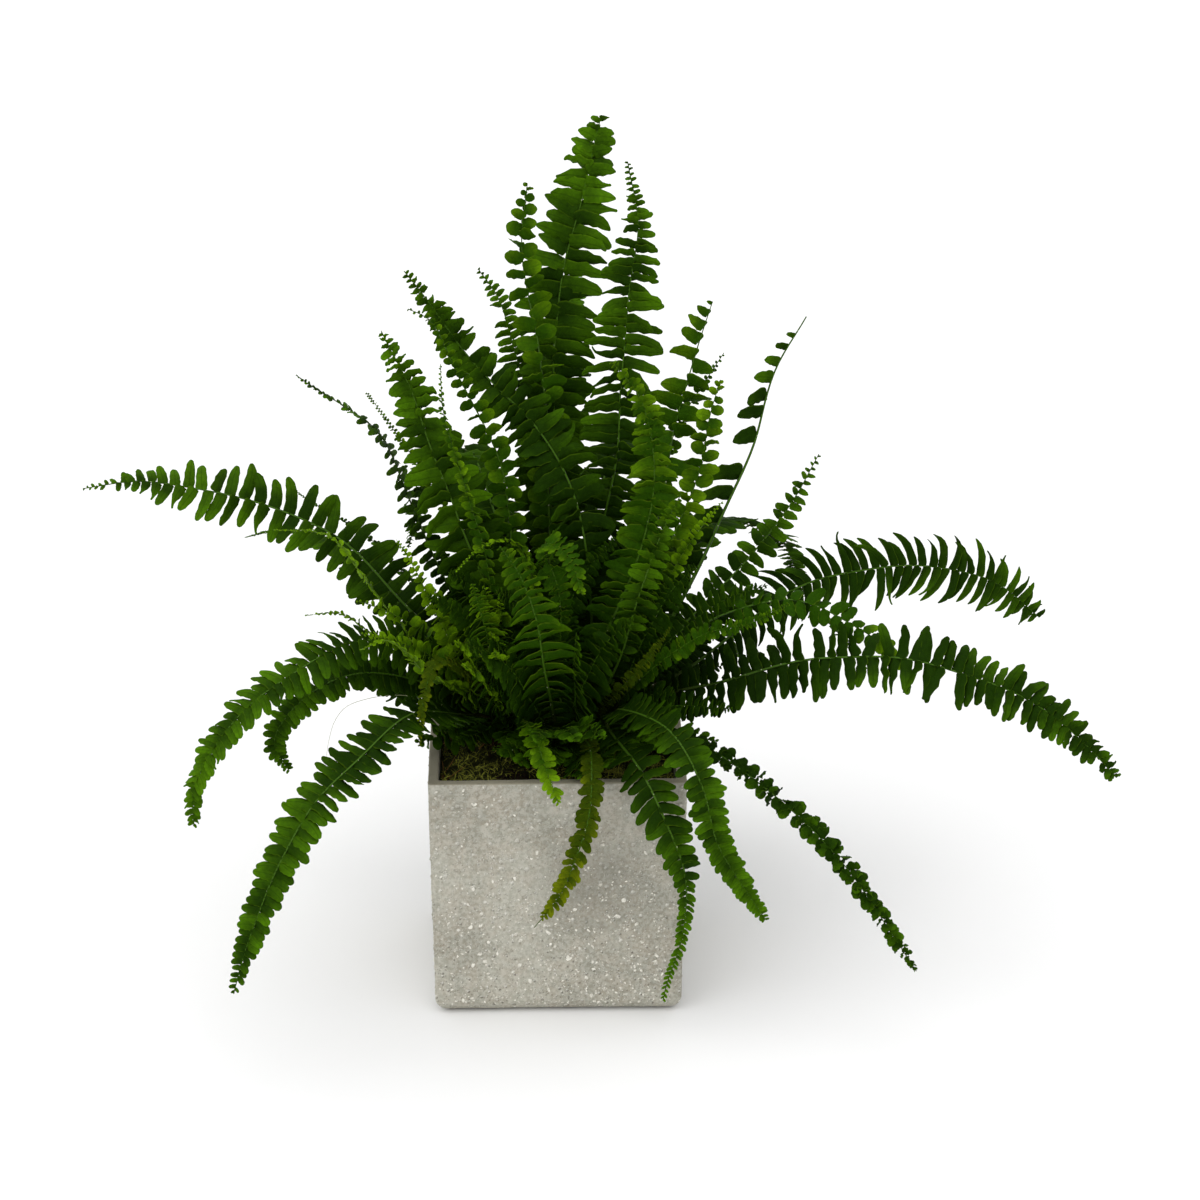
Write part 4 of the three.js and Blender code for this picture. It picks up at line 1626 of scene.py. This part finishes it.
BACK_FRONDS = (
    Frond(Crown.BACK, (100, 9), 22, Facing.SKY, Tone.DEEP, BROAD, (
        (0, 76, 140), (6, 110, 220), (10, 170, 250), (12, 220, 220),
    )),
    Frond(Crown.BACK, (60, 9), 22, Facing.SKY, Tone.DEEP, STRAP, (
        (26, 84, 110), (44, 140, 150), (62, 196, 120), (74, 232, 50),
    )),
    Frond(Crown.BACK, (130, 15), 22, Facing.SKY, Tone.DEEP, LOOSE, (
        (-32, 86, 100), (-56, 140, 140), (-82, 196, 110), (-100, 232, 40),
    )),
    Frond(Crown.RIGHT, (47, 17.3), 12, Facing.SKY, Tone.DEEP, STRAP, (
        (84, 50, 40), (130, 100, 50), (180, 150, 20), (220, 190, -40),
    )),
    Frond(Crown.LEFT, (120, 17.3), 15, Facing.SKY, Tone.DEEP, BROAD, (
        (-84, 56, 45), (-130, 100, 80), (-174, 144, 87), (-206, 168, 72),
    )),
    Frond(Crown.BACK, (85, 16), 20, Facing.SKY, Tone.DEEP, SHINGLED, (
        (16, 100, 40), (30, 150, 40), (42, 200, -10), (48, 220, -70),
    )),
    Frond(Crown.BACK, (110, 17), 20, Facing.SKY, Tone.FRESH, BROAD, (
        (-30, 100, 40), (-50, 150, 40), (-70, 195, 0), (-84, 215, -60),
    ), light=-0.2),
    Frond(Crown.BACK, (25, 17.3), 13, Facing.SKY, Tone.DEEP, BROAD, (
        (60, 90, 30), (96, 134, 25), (120, 165, 0), (134, 184, -35),
    )),
    Frond(Crown.BACK, (145, 17.5), 12, Facing.SKY, Tone.DEEP, STRAP, (
        (-60, 84, 25), (-104, 124, 20), (-134, 150, -5), (-146, 164, -35),
    )),
    Frond(Crown.RIGHT, (80, 17.3), 20, Facing.SKY, Tone.DEEP, BROAD, (
        (70, 70, 80), (110, 120, 100), (150, 170, 70), (176, 210, 10),
    )),
)
FRONDS = {
    "upright": UPRIGHT_FRONDS,
    "left": LEFT_FRONDS,
    "right": RIGHT_FRONDS,
    "front": FRONT_FRONDS,
    "back": BACK_FRONDS,
}
RUNNER = Frond(Crown.LEFT, (200, 17), 4, Facing.SKY, Tone.OLIVE, SMALL, (
    (-62, -8, 20), (-95, -20, 34), (-122, -32, 35), (-132, -36, 32), (-138, -40, 25), (-142, -44, 12),
    (-144, -46, -1),
), light=0.4, bare_foot=1.0, stalk=0.42)
COIL = Frond(Crown.LEFT, (0, 0), 20, Facing.SKY, Tone.FRESH, SMALL, (), light=0.1, stalk=1.1)


def reached_along(places: Array) -> Array:
    """How far along a line each of its places lies."""
    gaps = np.linalg.norm(np.diff(places, axis=0), axis=1)
    return np.concatenate([[0.0], np.cumsum(gaps)])


class MiddleLine:
    """The smooth line that a stalk follows, with the way across it and the way up from it."""

    steps_a_stretch = 26
    least_lean = 0.35
    smoothing = 9
    waves = (26 * MM, 11 * MM)
    wave_depth = 0.035
    phases = 6.3
    still_foot = 15 * MM
    growing_wobble = 60 * MM
    twist = 0.2
    twist_wave = 45 * MM

    def __init__(self, points: Array, facing: Triple, rng: Draws | None = None) -> None:
        """Lay a line through points.

        Args:
            points: the points, in metres.
            facing: where the upper side faces.
            rng: draws its small wobbles and twists, where it has any.
        """
        self.places = self.spline(points)
        if rng:
            self.places += self.wobble(rng)
        self.reached = reached_along(self.places)
        self.length = float(self.reached[-1])
        self.tangents = normalised(np.gradient(self.places, axis=0))
        self.across = self.ways_across(np.array(facing))
        if rng:
            depth = self.twist * rng.uniform(0.5, 1)
            turn = (depth * np.sin(self.reached / self.twist_wave + rng.random() * self.phases))[:, None]
            self.across = self.across * np.cos(turn) + np.cross(self.tangents, self.across) * np.sin(turn)

    def wobble(self, rng: Draws) -> Array:
        """Draw small smooth shifts of the line, none at its foot.

        Args:
            rng: draws where each wave starts.

        Returns:
            The shift of each place.
        """
        reached = reached_along(self.places)
        shifts = np.zeros_like(self.places)
        for wave in self.waves:
            for axis in range(3):
                start = rng.random() * self.phases
                shifts[:, axis] += wave * self.wave_depth * np.sin(reached / wave + start)
        return shifts * np.clip((reached - self.still_foot) / self.growing_wobble, 0, 1)[:, None]

    def spline(self, points: Array) -> Array:
        """Lay a centripetal spline through points.

        Args:
            points: the points.

        Returns:
            The close places along it.
        """
        padded = np.vstack([2 * points[0] - points[1], points, 2 * points[-1] - points[-2]])
        share = np.linspace(0, 1, self.steps_a_stretch, endpoint=False)[:, None]
        places = []
        for before, start, end, after in zip(padded, padded[1:], padded[2:], padded[3:]):
            gap = [np.linalg.norm(b - a) ** 0.5 for a, b in ((before, start), (start, end), (end, after))]
            step = end - start
            leaving = (start - before) / gap[0] - (end - before) / (gap[0] + gap[1]) + step / gap[1]
            coming = step / gap[1] - (after - start) / (gap[1] + gap[2]) + (after - end) / gap[2]
            leaving, coming = leaving * gap[1], coming * gap[1]
            bent = (3 * step - 2 * leaving - coming) * share**2 + (leaving + coming - 2 * step) * share**3
            places.append(start + leaving * share + bent)
        return np.vstack([*places, points[-1:]])

    def ways_across(self, facing: Array) -> Array:
        """Find the ways across from the tip down, steadied where the line runs along its facing.

        Args:
            facing: where the upper side faces.

        Returns:
            The way across at each place.
        """
        crossed = np.cross(self.tangents, facing / np.linalg.norm(facing))
        sizes = np.linalg.norm(crossed, axis=1)
        for place in range(len(crossed) - 2, -1, -1):
            if sizes[place] < self.least_lean:
                tangent = self.tangents[place]
                crossed[place] = crossed[place + 1] - tangent * (crossed[place + 1] @ tangent)
            crossed[place] = normalised(crossed[place])
        crossed[-1] = normalised(crossed[-1])
        margin = self.smoothing // 2
        padded = np.pad(crossed, ((margin, margin), (0, 0)), mode="edge")
        smoothed = sum(padded[shift : shift + len(crossed)] for shift in range(self.smoothing))
        smoothed -= self.tangents * np.sum(smoothed * self.tangents, axis=1, keepdims=True)
        return normalised(smoothed)

    def read(self, values: Array, distances: Array) -> Array:
        """Values of the line's places, read at distances from its foot."""
        return np.column_stack([np.interp(distances, self.reached, values[:, axis]) for axis in range(3)])

    def at(self, distances: Array) -> tuple[Array, Array, Array, Array]:
        """Read the line at distances from its foot.

        Args:
            distances: the distances, in metres.

        Returns:
            The places, the tangents, the ways across and the ways up there.
        """
        tangents = normalised(self.read(self.tangents, distances))
        across = normalised(self.read(self.across, distances))
        return self.read(self.places, distances), tangents, across, np.cross(across, tangents)


@dataclass(frozen=True)
class LeafletModel:
    """A leaflet of unit length and width, with a small lobe at its foot, modelled once an outline."""

    segments: int = 10
    thickness: float = 0.05
    closing_up: float = 0.11
    scallops: Pair = (-0.03, 0.05)
    lobe: float = 0.14
    lobe_place: float = 0.09
    lobe_reach: float = 0.1

    def stations(self) -> Array:
        """How far along the leaflet each of its rows lies, closer together at both ends."""
        share = np.linspace(0, 1, self.segments + 1)
        return share - self.closing_up * np.sin(TURN * share)

    def build(self, outline: Outline) -> Model:
        """Model the leaflet.

        Args:
            outline: its outline.

        Returns:
            The model, whose points give the number of their row and how far across and up they lie.
        """
        deselect_all()
        bpy.ops.mesh.primitive_grid_add(x_subdivisions=self.segments, y_subdivisions=2, size=1)
        piece = settle(bpy.context.object, f"leaflet_{outline.name.lower()}")
        stations = self.stations()
        for vertex in piece.data.vertices:
            row = round((vertex.co.x + 0.5) * self.segments)
            wide = 0.5 * float(np.interp(stations[row], *zip(*outline.value))) * (1 + self.scallops[row % 2])
            if vertex.co.y > 0:
                wide += self.lobe * math.exp(-(((stations[row] - self.lobe_place) / self.lobe_reach) ** 2))
            vertex.co.x = row
            vertex.co.y *= 2 * wide
        solid = piece.modifiers.new("thickness", "SOLIDIFY")
        solid.thickness = self.thickness
        solid.offset = 0
        make_active(piece)
        bpy.ops.object.modifier_apply(modifier=solid.name)
        return Model.taken_from(piece)


@dataclass(frozen=True)
class StalkModel:
    """A stalk of unit length and radius with a groove along its upper side, modelled once."""

    rings: int = 44
    sides: int = 8
    groove: float = 0.62

    def build(self) -> Model:
        """Model the stalk by extruding a circle ring by ring.

        Returns:
            The model.
        """
        deselect_all()
        bpy.ops.mesh.primitive_circle_add(vertices=self.sides, radius=1, fill_type="TRIFAN")
        piece = bpy.context.object
        with editing(piece):
            pick("VERT", lambda vertex: vertex.co.y > 0.9)
            bpy.ops.transform.resize(value=(1, self.groove, 1), center_override=(0, 0, 0))
            bpy.ops.mesh.select_all(action="SELECT")
            step = {"value": (0, 0, 1 / self.rings)}
            for _ in range(self.rings):
                bpy.ops.mesh.extrude_region_move(TRANSFORM_OT_translate=step)
            make_solid()
        return Model.taken_from(piece)


@dataclass
class FrondBuilder:
    """Makes a frond's stalk and leaflets from the shared models.

    Attributes:
        finishes: the materials by slot, with the stalk's under "stalk".
    """

    finishes: dict[str, Material]
    above_crown: float = 0.3 * MM
    straight_rise: float = 10 * MM
    stalk_foot: float = 1.35 * MM
    stalk_tip: float = 0.3 * MM
    stalk_taper: float = 0.8
    stalk_sunk: float = 4 * MM
    least_stalk: float = 0.6
    thickening: float = 50
    least_leaflet: float = 1.5 * MM
    leaflet_rise: float = 0.3 * MM
    leaf_thickness: float = 0.35 * MM
    lengths: Pair = (0.8, 1.1)
    pitches: Pair = (0.85, 1.15)
    present: float = 0.98
    widest: float = 0.62
    widest_round: float = 0.85
    closing_at_tip: float = 20
    rises: Pair = (0.08, 0.13)
    droops: Pair = (0.5, 1.5)
    hook_unrest: float = 0.3
    curl: float = 0.026
    tail_aside: Pair = (0.3, 0.8)
    tail_up: Pair = (0.2, 0.8)
    spin: float = 0.016
    ripples: float = 15
    narrowing: float = 0.4
    least_pitch: float = 0.4
    sharp: float = 50

    def __post_init__(self) -> None:
        """Model the leaflets and the stalk."""
        maker = LeafletModel()
        self.stations = maker.stations()
        self.leaflets = {outline: maker.build(outline) for outline in Outline}
        self.stalk = StalkModel().build()

    def line(self, frond: Frond, rng: Draws) -> MiddleLine:
        """Lay a frond's middle line, straight up from its foot and then along its path.

        Args:
            frond: the frond.
            rng: its random draws.

        Returns:
            The line.
        """
        angle, distance = math.radians(frond.foot[0]), frond.foot[1] * MM
        place = frond.crown.value
        x, y = place.x + distance * math.cos(angle), place.y + distance * math.sin(angle)
        foot = CROWN_TOP + self.above_crown
        path = [[x * MM, y * MM, z * MM + POT.height] for x, y, z in frond.path]
        points = np.array([[x, y, foot], [x, y, foot + self.straight_rise], *path])
        return MiddleLine(points, frond.facing.value, rng)

    def build(self, name: str, frond: Frond, seed: int) -> Object:
        """Build a frond as one piece.

        Args:
            name: the piece's name.
            frond: what it is like.
            seed: the start of its random draws.

        Returns:
            The piece.
        """
        rng = np.random.default_rng(seed)
        line = self.line(frond, rng)
        gathering = Gathering()
        self.add_stalk(gathering, line, frond)
        self.add_leaflets(gathering, line, frond, rng)
        finishes = [self.finishes["stalk"], self.finishes[frond.tone.value]]
        return gathering.piece(name, finishes, self.sharp)

    def add_stalk(self, gathering: Gathering, line: MiddleLine, frond: Frond) -> None:
        """Lay the stalk along the line, starting a little inside the crown.

        Args:
            gathering: takes the stalk.
            line: the frond's middle line.
            frond: the frond.
        """
        points = self.stalk.points
        share = points[:, 2]
        distances = share * (line.length + self.stalk_sunk) - self.stalk_sunk
        places, _, across, up = line.at(np.maximum(distances, 0.0))
        places[:, 2] += np.minimum(distances, 0.0)
        thick = min(1.0, self.least_stalk + frond.reach / self.thickening) * frond.stalk
        radius = self.stalk_foot + (self.stalk_tip - self.stalk_foot) * share**self.stalk_taper
        laid = places + (across * points[:, :1] + up * points[:, 1:2]) * (radius[:, None] * thick)
        turn = np.arctan2(points[:, 1], points[:, 0]) / TURN % 1.0
        growth = np.column_stack([share, np.full(len(share), 0.5), np.full(len(share), frond.light)])
        gathering.add(laid, self.stalk.faces, np.column_stack([share, turn]), growth, 0)

    def leaflet_size(self, frond: Frond, share: float) -> float:
        """A leaflet's size against the frond's longest, by its place along the frond."""
        leafy = (share - frond.bare_foot) / (1 - frond.bare_foot - frond.bare_tip)
        return float(np.interp(leafy, *zip(*frond.shape.value)))

    def add_leaflets(self, gathering: Gathering, line: MiddleLine, frond: Frond, rng: Draws) -> None:
        """Set the leaflets along both sides of the stalk, turn and turn about.

        Args:
            gathering: takes the leaflets.
            line: the frond's middle line.
            frond: the frond.
            rng: its random draws.
        """
        habit = frond.habit
        reach = frond.reach * MM
        widest = self.widest_round if habit.outline is Outline.ROUND else self.widest
        distance = line.length * frond.bare_foot
        side = 1
        while distance < line.length * (1 - frond.bare_tip) - 0.5 * MM:
            size = self.leaflet_size(frond, distance / line.length)
            length = max(reach * size, self.least_leaflet) * rng.uniform(*self.lengths)
            width = min(habit.width * reach * size**self.narrowing, length * widest)
            shown = frond.sides.value[0 if side > 0 else 1]
            if rng.random() < shown * self.present:
                self.add_leaflet(gathering, line, frond, rng, distance, side, length, width)
            crowded = self.least_pitch + (1 - self.least_pitch) * size
            distance += habit.pitch * reach * crowded / 2 * rng.uniform(*self.pitches)
            side = -side

    def add_leaflet(
        self, gathering: Gathering, line: MiddleLine, frond: Frond, rng: Draws, distance: float, side: int,
        length: float, width: float,
    ) -> None:
        """Set one leaflet.

        Args:
            gathering: takes the copy.
            line: the frond's middle line.
            frond: the frond.
            rng: its random draws.
            distance: from the foot along the line, in metres.
            side: 1 for the right side and -1 for the left.
            length: the leaflet's length.
            width: its width.
        """
        habit = frond.habit
        share = distance / line.length
        place, tangent, across, up = (each[0] for each in line.at(np.array([distance])))
        lean = math.radians(habit.lean - self.closing_at_tip * share**4 + rng.normal(0, habit.unrest / 2))
        out = across * side
        heading = out * math.sin(lean) + tangent * math.cos(lean) + up * rng.normal(*self.rises)
        heading = normalised(heading)
        tilt = math.radians(habit.tilt + rng.normal(0, habit.unrest))
        towards_tip = normalised(tangent - heading * (tangent @ heading))
        upward = normalised(up - heading * (up @ heading))
        towards_tip = towards_tip * math.cos(tilt) + upward * math.sin(tilt)

        along = self.stations[:, None]
        tailed = rng.random() < habit.tailed
        droop = habit.droop * rng.uniform(*self.droops)
        hook = habit.hook + rng.normal(0, self.hook_unrest)
        curl = rng.normal(0, self.curl * habit.unrest)
        ways = heading + tangent * hook * along**2 + DOWN * droop * along + up * curl * along**3
        if tailed:
            ways = ways + tangent * rng.normal(*self.tail_aside) * along**4
            ways = ways + up * rng.normal(*self.tail_up) * along**4
        ways = normalised(ways)
        gaps = np.diff(self.stations)[:, None]
        middle = np.vstack([np.zeros(3), np.cumsum((ways[:-1] + ways[1:]) / 2 * gaps, axis=0)]) * length
        wide = normalised(towards_tip - ways * (ways @ towards_tip)[:, None])
        raised = np.cross(ways, wide) * side
        turn = rng.normal(0, self.spin * habit.unrest) * along
        turned = wide * np.cos(turn) + raised * np.sin(turn)
        wide, raised = turned, raised * np.cos(turn) - wide * np.sin(turn)

        blunted = rng.random() < habit.blunted
        model = self.leaflets[Outline.TAILED if tailed else Outline.BLUNT if blunted else habit.outline]
        row = np.rint(model.points[:, 0]).astype(int)
        b, c = model.points[:, 1], model.points[:, 2]
        ripple = np.sin(self.stations[row] * self.ripples + rng.random() * TURN)
        ripple = habit.wave * ripple * np.abs(b) * 2
        thick = c * self.leaf_thickness / LeafletModel.thickness
        lift = thick + (ripple - habit.cup * (2 * b) ** 2) * width
        points = place + up * self.leaflet_rise + middle[row]
        points = points + wide[row] * (b * width)[:, None] + raised[row] * lift[:, None]
        faces = model.faces if side > 0 else model.faces[:, ::-1]
        chart = np.column_stack([self.stations[row], np.clip(b + 0.5, 0, 1)])
        # Lighter towards the tip, partly paler young growth and partly painted light through the thin tips.
        light = frond.light + frond.tip_light * share**3
        growth = np.tile([share, rng.random(), light], (len(points), 1))
        gathering.add(points, faces, chart, growth, 1)


@dataclass(frozen=True)
class Brood:
    """Like young fronds: where and how steeply they lean, in degrees, and their sizes, in millimetres."""

    count: int
    crowns: tuple[Crown, ...]
    turns: Pair
    steeps: Pair
    lengths: Pair
    reaches: Pair
    looks: tuple[tuple[Tone, Habit], ...]
    light: float
    stations: Triple = (0.35, 0.7, 1.0)
    foot_margins: Pair = (4, 2.5)
    first_rise: float = 6
    sinking: float = 0.3
    spreading: float = 0.4
    unlikeness: float = 0.1
    bare_foot: float = 0.06
    stalk: float = 0.7

    def plans(self, rng: Draws) -> list[Frond]:
        """Plan the fronds.

        Args:
            rng: its random draws.

        Returns:
            The fronds.
        """
        plans = []
        for number in range(self.count):
            crown = self.crowns[number % len(self.crowns)]
            tone, habit = self.looks[number % len(self.looks)]
            place = crown.value
            turn, length = rng.uniform(*self.turns), rng.uniform(*self.lengths)
            steep = math.radians(rng.uniform(*self.steeps))
            foot = rng.uniform(self.foot_margins[0], place.radius / MM - self.foot_margins[1])
            ahead = math.radians(turn)
            path = []
            for share in self.stations:
                rise = self.first_rise + length * share * math.sin(steep) * (1 - self.sinking * share)
                spread = foot + length * share * math.cos(steep) * (1 + self.spreading * share)
                x = place.x / MM + math.cos(ahead) * spread
                path.append((x, place.y / MM + math.sin(ahead) * spread, rise))
            light = self.light + rng.uniform(-self.unlikeness, self.unlikeness)
            look = {"light": light, "bare_foot": self.bare_foot, "stalk": self.stalk}
            reach = rng.uniform(*self.reaches)
            plan = Frond(crown, (turn, foot), reach, Facing.FRONT_UP, tone, habit, tuple(path), **look)
            plans.append(plan)
        return plans


DARK_LEAVES = ((Tone.DEEP, BROAD), (Tone.DEEP, LOOSE), (Tone.DEEP, STRAP))
ROUND_LEAVES = ((Tone.DEEP, PLUMP),)
# Each brood's last number is its light; the low ones are partly painted shade on young fronds deep in the
# tuft.
BROODS = (
    Brood(34, tuple(Crown), (0, 360), (62, 86), (100, 190), (12, 20), DARK_LEAVES, -0.35),
    Brood(26, (Crown.LEFT,), (195, 268), (58, 82), (80, 160), (8, 12), ((Tone.FRESH, SMALL),), 0.08),
    Brood(5, (Crown.FRONT,), (200, 300), (40, 75), (50, 90), (9, 12), ((Tone.DEEP, SMALL),), -0.1),
    Brood(16, (Crown.RIGHT, Crown.BACK), (-50, 45), (28, 60), (50, 88), (12, 18), DARK_LEAVES, -0.3),
    Brood(8, (Crown.LEFT, Crown.BACK), (120, 200), (25, 60), (50, 100), (12, 18), DARK_LEAVES, -0.25),
    Brood(11, (Crown.LEFT, Crown.FRONT), (205, 300), (2, 24), (26, 44), (11, 15), ROUND_LEAVES, 0.0),
    Brood(10, (Crown.RIGHT, Crown.FRONT), (250, 330), (2, 26), (30, 52), (13, 18), ROUND_LEAVES, 0.05),
    Brood(8, (Crown.BACK,), (30, 150), (15, 60), (60, 120), (12, 18), DARK_LEAVES, -0.1),
)


@dataclass(frozen=True)
class Undergrowth:
    """Short young fronds and coiled ones inside the tuft, and the bare runner at the left."""

    coiled: int = 5
    coil_heights: Pair = (22, 45)
    coil_radius: float = 7 * MM
    coil_sunk: float = 2 * MM
    coil_place: float = 0.6
    coil_steps: int = 15
    coil_turn: float = math.pi / 5
    coil_end: int = 17

    def young_fronds(self) -> list[Frond]:
        """Plan the young fronds of every brood."""
        rng = draws(7)
        return [plan for brood in BROODS for plan in brood.plans(rng)]

    def build_runner(self, builder: FrondBuilder) -> Object:
        """Build the thin bare runner.

        Args:
            builder: makes its stalk.

        Returns:
            The runner.
        """
        gathering = Gathering()
        builder.add_stalk(gathering, builder.line(RUNNER, draws(0)), RUNNER)
        return gathering.piece("runner", [builder.finishes["runner"]], builder.sharp)

    def coil_line(self, crown: Crown, turn: float, height: float) -> MiddleLine:
        """Lay the line of a coiled young frond: up, and then round in a closing spiral.

        Args:
            crown: the crown that it grows from.
            turn: the way that it leans, in radians from +X.
            height: how high the middle of its coil is, in metres.

        Returns:
            The line.
        """
        place = crown.value
        out = np.array([math.cos(turn), math.sin(turn), 0.0])
        foot = np.array([place.x, place.y, CROWN_TOP - self.coil_sunk])
        foot = foot + out * place.radius * self.coil_place
        points = [foot, foot + [0, 0, height * 0.5]]
        centre = foot + [0, 0, height] - out * self.coil_radius
        for step in range(self.coil_steps):
            angle = step * self.coil_turn
            radius = self.coil_radius * (1 - step / self.coil_end)
            up = np.array([0, 0, radius * math.sin(angle)])
            points.append(centre + out * radius * math.cos(angle) + up)
        return MiddleLine(np.array(points), tuple(np.cross(out, [0, 0, 1.0])))

    def build_coils(self, builder: FrondBuilder) -> Object:
        """Build the coiled young fronds as one piece.

        Args:
            builder: makes their stalks.

        Returns:
            The piece.
        """
        rng = draws(8)
        gathering = Gathering()
        crowns = list(Crown)
        for number in range(self.coiled):
            turn, height = rng.random() * TURN, rng.uniform(*self.coil_heights) * MM
            line = self.coil_line(crowns[number % len(crowns)], turn, height)
            builder.add_stalk(gathering, line, COIL)
        return gathering.piece("coiled_fronds", [builder.finishes["stalk"]], builder.sharp)


# Stage, camera and light.


@dataclass(frozen=True)
class Sun:
    """A light that comes evenly from one way, and whose softness is the angle that it fills."""

    name: str
    way: Triple
    strength: float
    softness: float

    def hang(self) -> None:
        """Put the light into the scene."""
        data = bpy.data.lights.new(self.name, "SUN")
        data.energy = self.strength
        data.angle = math.radians(self.softness)
        light = bpy.data.objects.new(self.name, data)
        light.location = self.way
        light.rotation_euler = (-Vector(self.way)).to_track_quat("-Z", "Y").to_euler()
        bpy.context.scene.collection.objects.link(light)


@dataclass(frozen=True)
class Studio:
    """The floor, the camera and the soft light."""

    camera_place: Triple = (-19.6 * MM, -2093.5 * MM, 1053.7 * MM)
    camera_down: float = 21.0
    camera_turn: float = 1.3
    lens: float = 107.25
    sensor: float = 36.0
    sight: float = 100.0
    floor_side: float = 30.0
    floor_tone: float = 0.9
    suns: tuple[Sun, ...] = (Sun("key", (-1.0, -1.3, 2.2), 1.5, 80), Sun("top", (0.3, 0.2, 2.0), 0.9, 100))
    surroundings: float = 0.6

    def build_floor(self) -> Object:
        """Lay the floor.

        Returns:
            The floor.
        """
        deselect_all()
        bpy.ops.mesh.primitive_plane_add(size=self.floor_side)
        floor = settle(bpy.context.object, "floor")
        floor.data.materials.append(StageFinish("floor_pale", self.floor_tone).make())
        return floor

    def place_camera(self) -> None:
        """Set the camera at the photograph's view."""
        data = bpy.data.cameras.new("camera")
        data.lens = self.lens
        data.sensor_width = self.sensor
        data.clip_end = self.sight
        camera = bpy.data.objects.new("camera", data)
        camera.location = self.camera_place
        camera.rotation_euler = (math.radians(90 - self.camera_down), 0, math.radians(-self.camera_turn))
        bpy.context.scene.collection.objects.link(camera)
        bpy.context.scene.camera = camera

    def light_scene(self) -> None:
        """Place the lights and the pale surroundings."""
        for sun in self.suns:
            sun.hang()
        world = bpy.data.worlds.new("surroundings")
        world.use_nodes = True
        background = world.node_tree.nodes["Background"]
        background.inputs["Color"].default_value = (1.0, 1.0, 1.0, 1.0)
        background.inputs["Strength"].default_value = self.surroundings
        bpy.context.scene.world = world
        bpy.context.scene.view_settings.view_transform = "Standard"


# Putting it together.


def seated(piece: Object, slot: str, *nodes: str) -> Object:
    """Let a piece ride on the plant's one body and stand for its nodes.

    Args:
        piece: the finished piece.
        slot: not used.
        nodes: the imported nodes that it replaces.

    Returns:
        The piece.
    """
    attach(piece, "root")
    if nodes:
        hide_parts(*nodes)
    faces = len(piece.data.polygons)
    log.info("%s: %d faces, stands for %s", piece.name, faces, ", ".join(nodes) or "no node")
    return piece


def make_finishes(effects: Effects) -> dict[str, Material]:
    """Build every material of the plant and its pot.

    Args:
        effects: the shared effects.

    Returns:
        The materials, by slot or use.
    """
    finishes = [
        LeafFinish("frond_deep", "#183001", "#507c07", "#789d1c"),
        LeafFinish("frond_fresh", "#254601", "#76a00b", "#9dbd2e"),
        LeafFinish("frond_olive", "#324502", "#7f8c0b", "#9ca62a"),
        GritFinish("grain", "#a29e90", "#f0ede2", 300.0, 0.7, 0.1),
        GritFinish("moss", "#0d0904", "#26290a", 90.0, 0.95, 0.8),
        GritFinish("strand", "#1d2206", "#a8ab45", 60.0, 0.85, 0.1),
        GritFinish("soil", "#120b06", "#352616", 400.0, 0.95, 0.5),
        GritFinish("dry", "#2e1f0e", "#86652f", 120.0, 0.7, 0.2),
        GritFinish("rootstock", "#1f140a", "#5a3d20", 160.0, 0.9, 0.6),
        GritFinish("hair", "#24180b", "#5e4526", 60.0, 0.7, 0.1),
        StalkFinish("stalk", "#211807", "#233c05", "#3f650c", "#5f8023"),
        StalkFinish("runner", "#2c2409", "#8d9270", "#b4b994", "#a4a982"),
        ConcreteFinish("concrete", "#acaa9c", "#908e80", "#aea493", "#f3f1e7", "#5e5a50", "#948f7c"),
    ]
    return {finish.name: finish.make(effects) for finish in finishes}


def main() -> None:
    """Build the plant in its pot, and the stage around it."""
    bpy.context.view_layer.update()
    studio = Studio()
    studio.place_camera()
    studio.light_scene()
    studio.build_floor()

    finishes = make_finishes(Effects())
    body = seated(POT.build(finishes["concrete"]), "concrete", "pot")
    seated(WallGrains().build(body, finishes["grain"]), "concrete")

    strand = StrandModel()
    bed = Bed()
    pad = seated(bed.build_pad(finishes["moss"]), "moss", "moss")
    seated(bed.build_strands(pad, strand, finishes["strand"]), "moss")
    seated(bed.build_crumbs(pad, finishes["soil"]), "soil")
    seated(bed.build_dry_blades(pad, strand, finishes["dry"]), "rootstock")
    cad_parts["soil"].data.materials.clear()
    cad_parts["soil"].data.materials.append(finishes["soil"])

    rootstock = Rootstock()
    mounds = {}
    for crown in Crown:
        mounds[crown] = rootstock.build_mound(crown, finishes["rootstock"])
        seated(mounds[crown], "rootstock", f"crown_{crown.name.lower()}")
    seated(rootstock.build_hairs(mounds, strand, finishes["hair"]), "rootstock")

    builder = FrondBuilder(finishes)
    seed = SEED * 100
    for group, fronds in FRONDS.items():
        for number, frond in enumerate(fronds, 1):
            seed += 1
            piece = builder.build(f"fern_{group}_{number}", frond, seed)
            seated(piece, frond.tone.value, f"frond_{group}_{number}")

    undergrowth = Undergrowth()
    for number, frond in enumerate(undergrowth.young_fronds(), 1):
        seed += 1
        seated(builder.build(f"young_frond_{number}", frond, seed), frond.tone.value)
    seated(undergrowth.build_coils(builder), "frond_fresh")
    seated(undergrowth.build_runner(builder), "frond_olive")


if __name__ == "__main__":
    logging.basicConfig(level=logging.INFO, format="%(message)s")
    main()
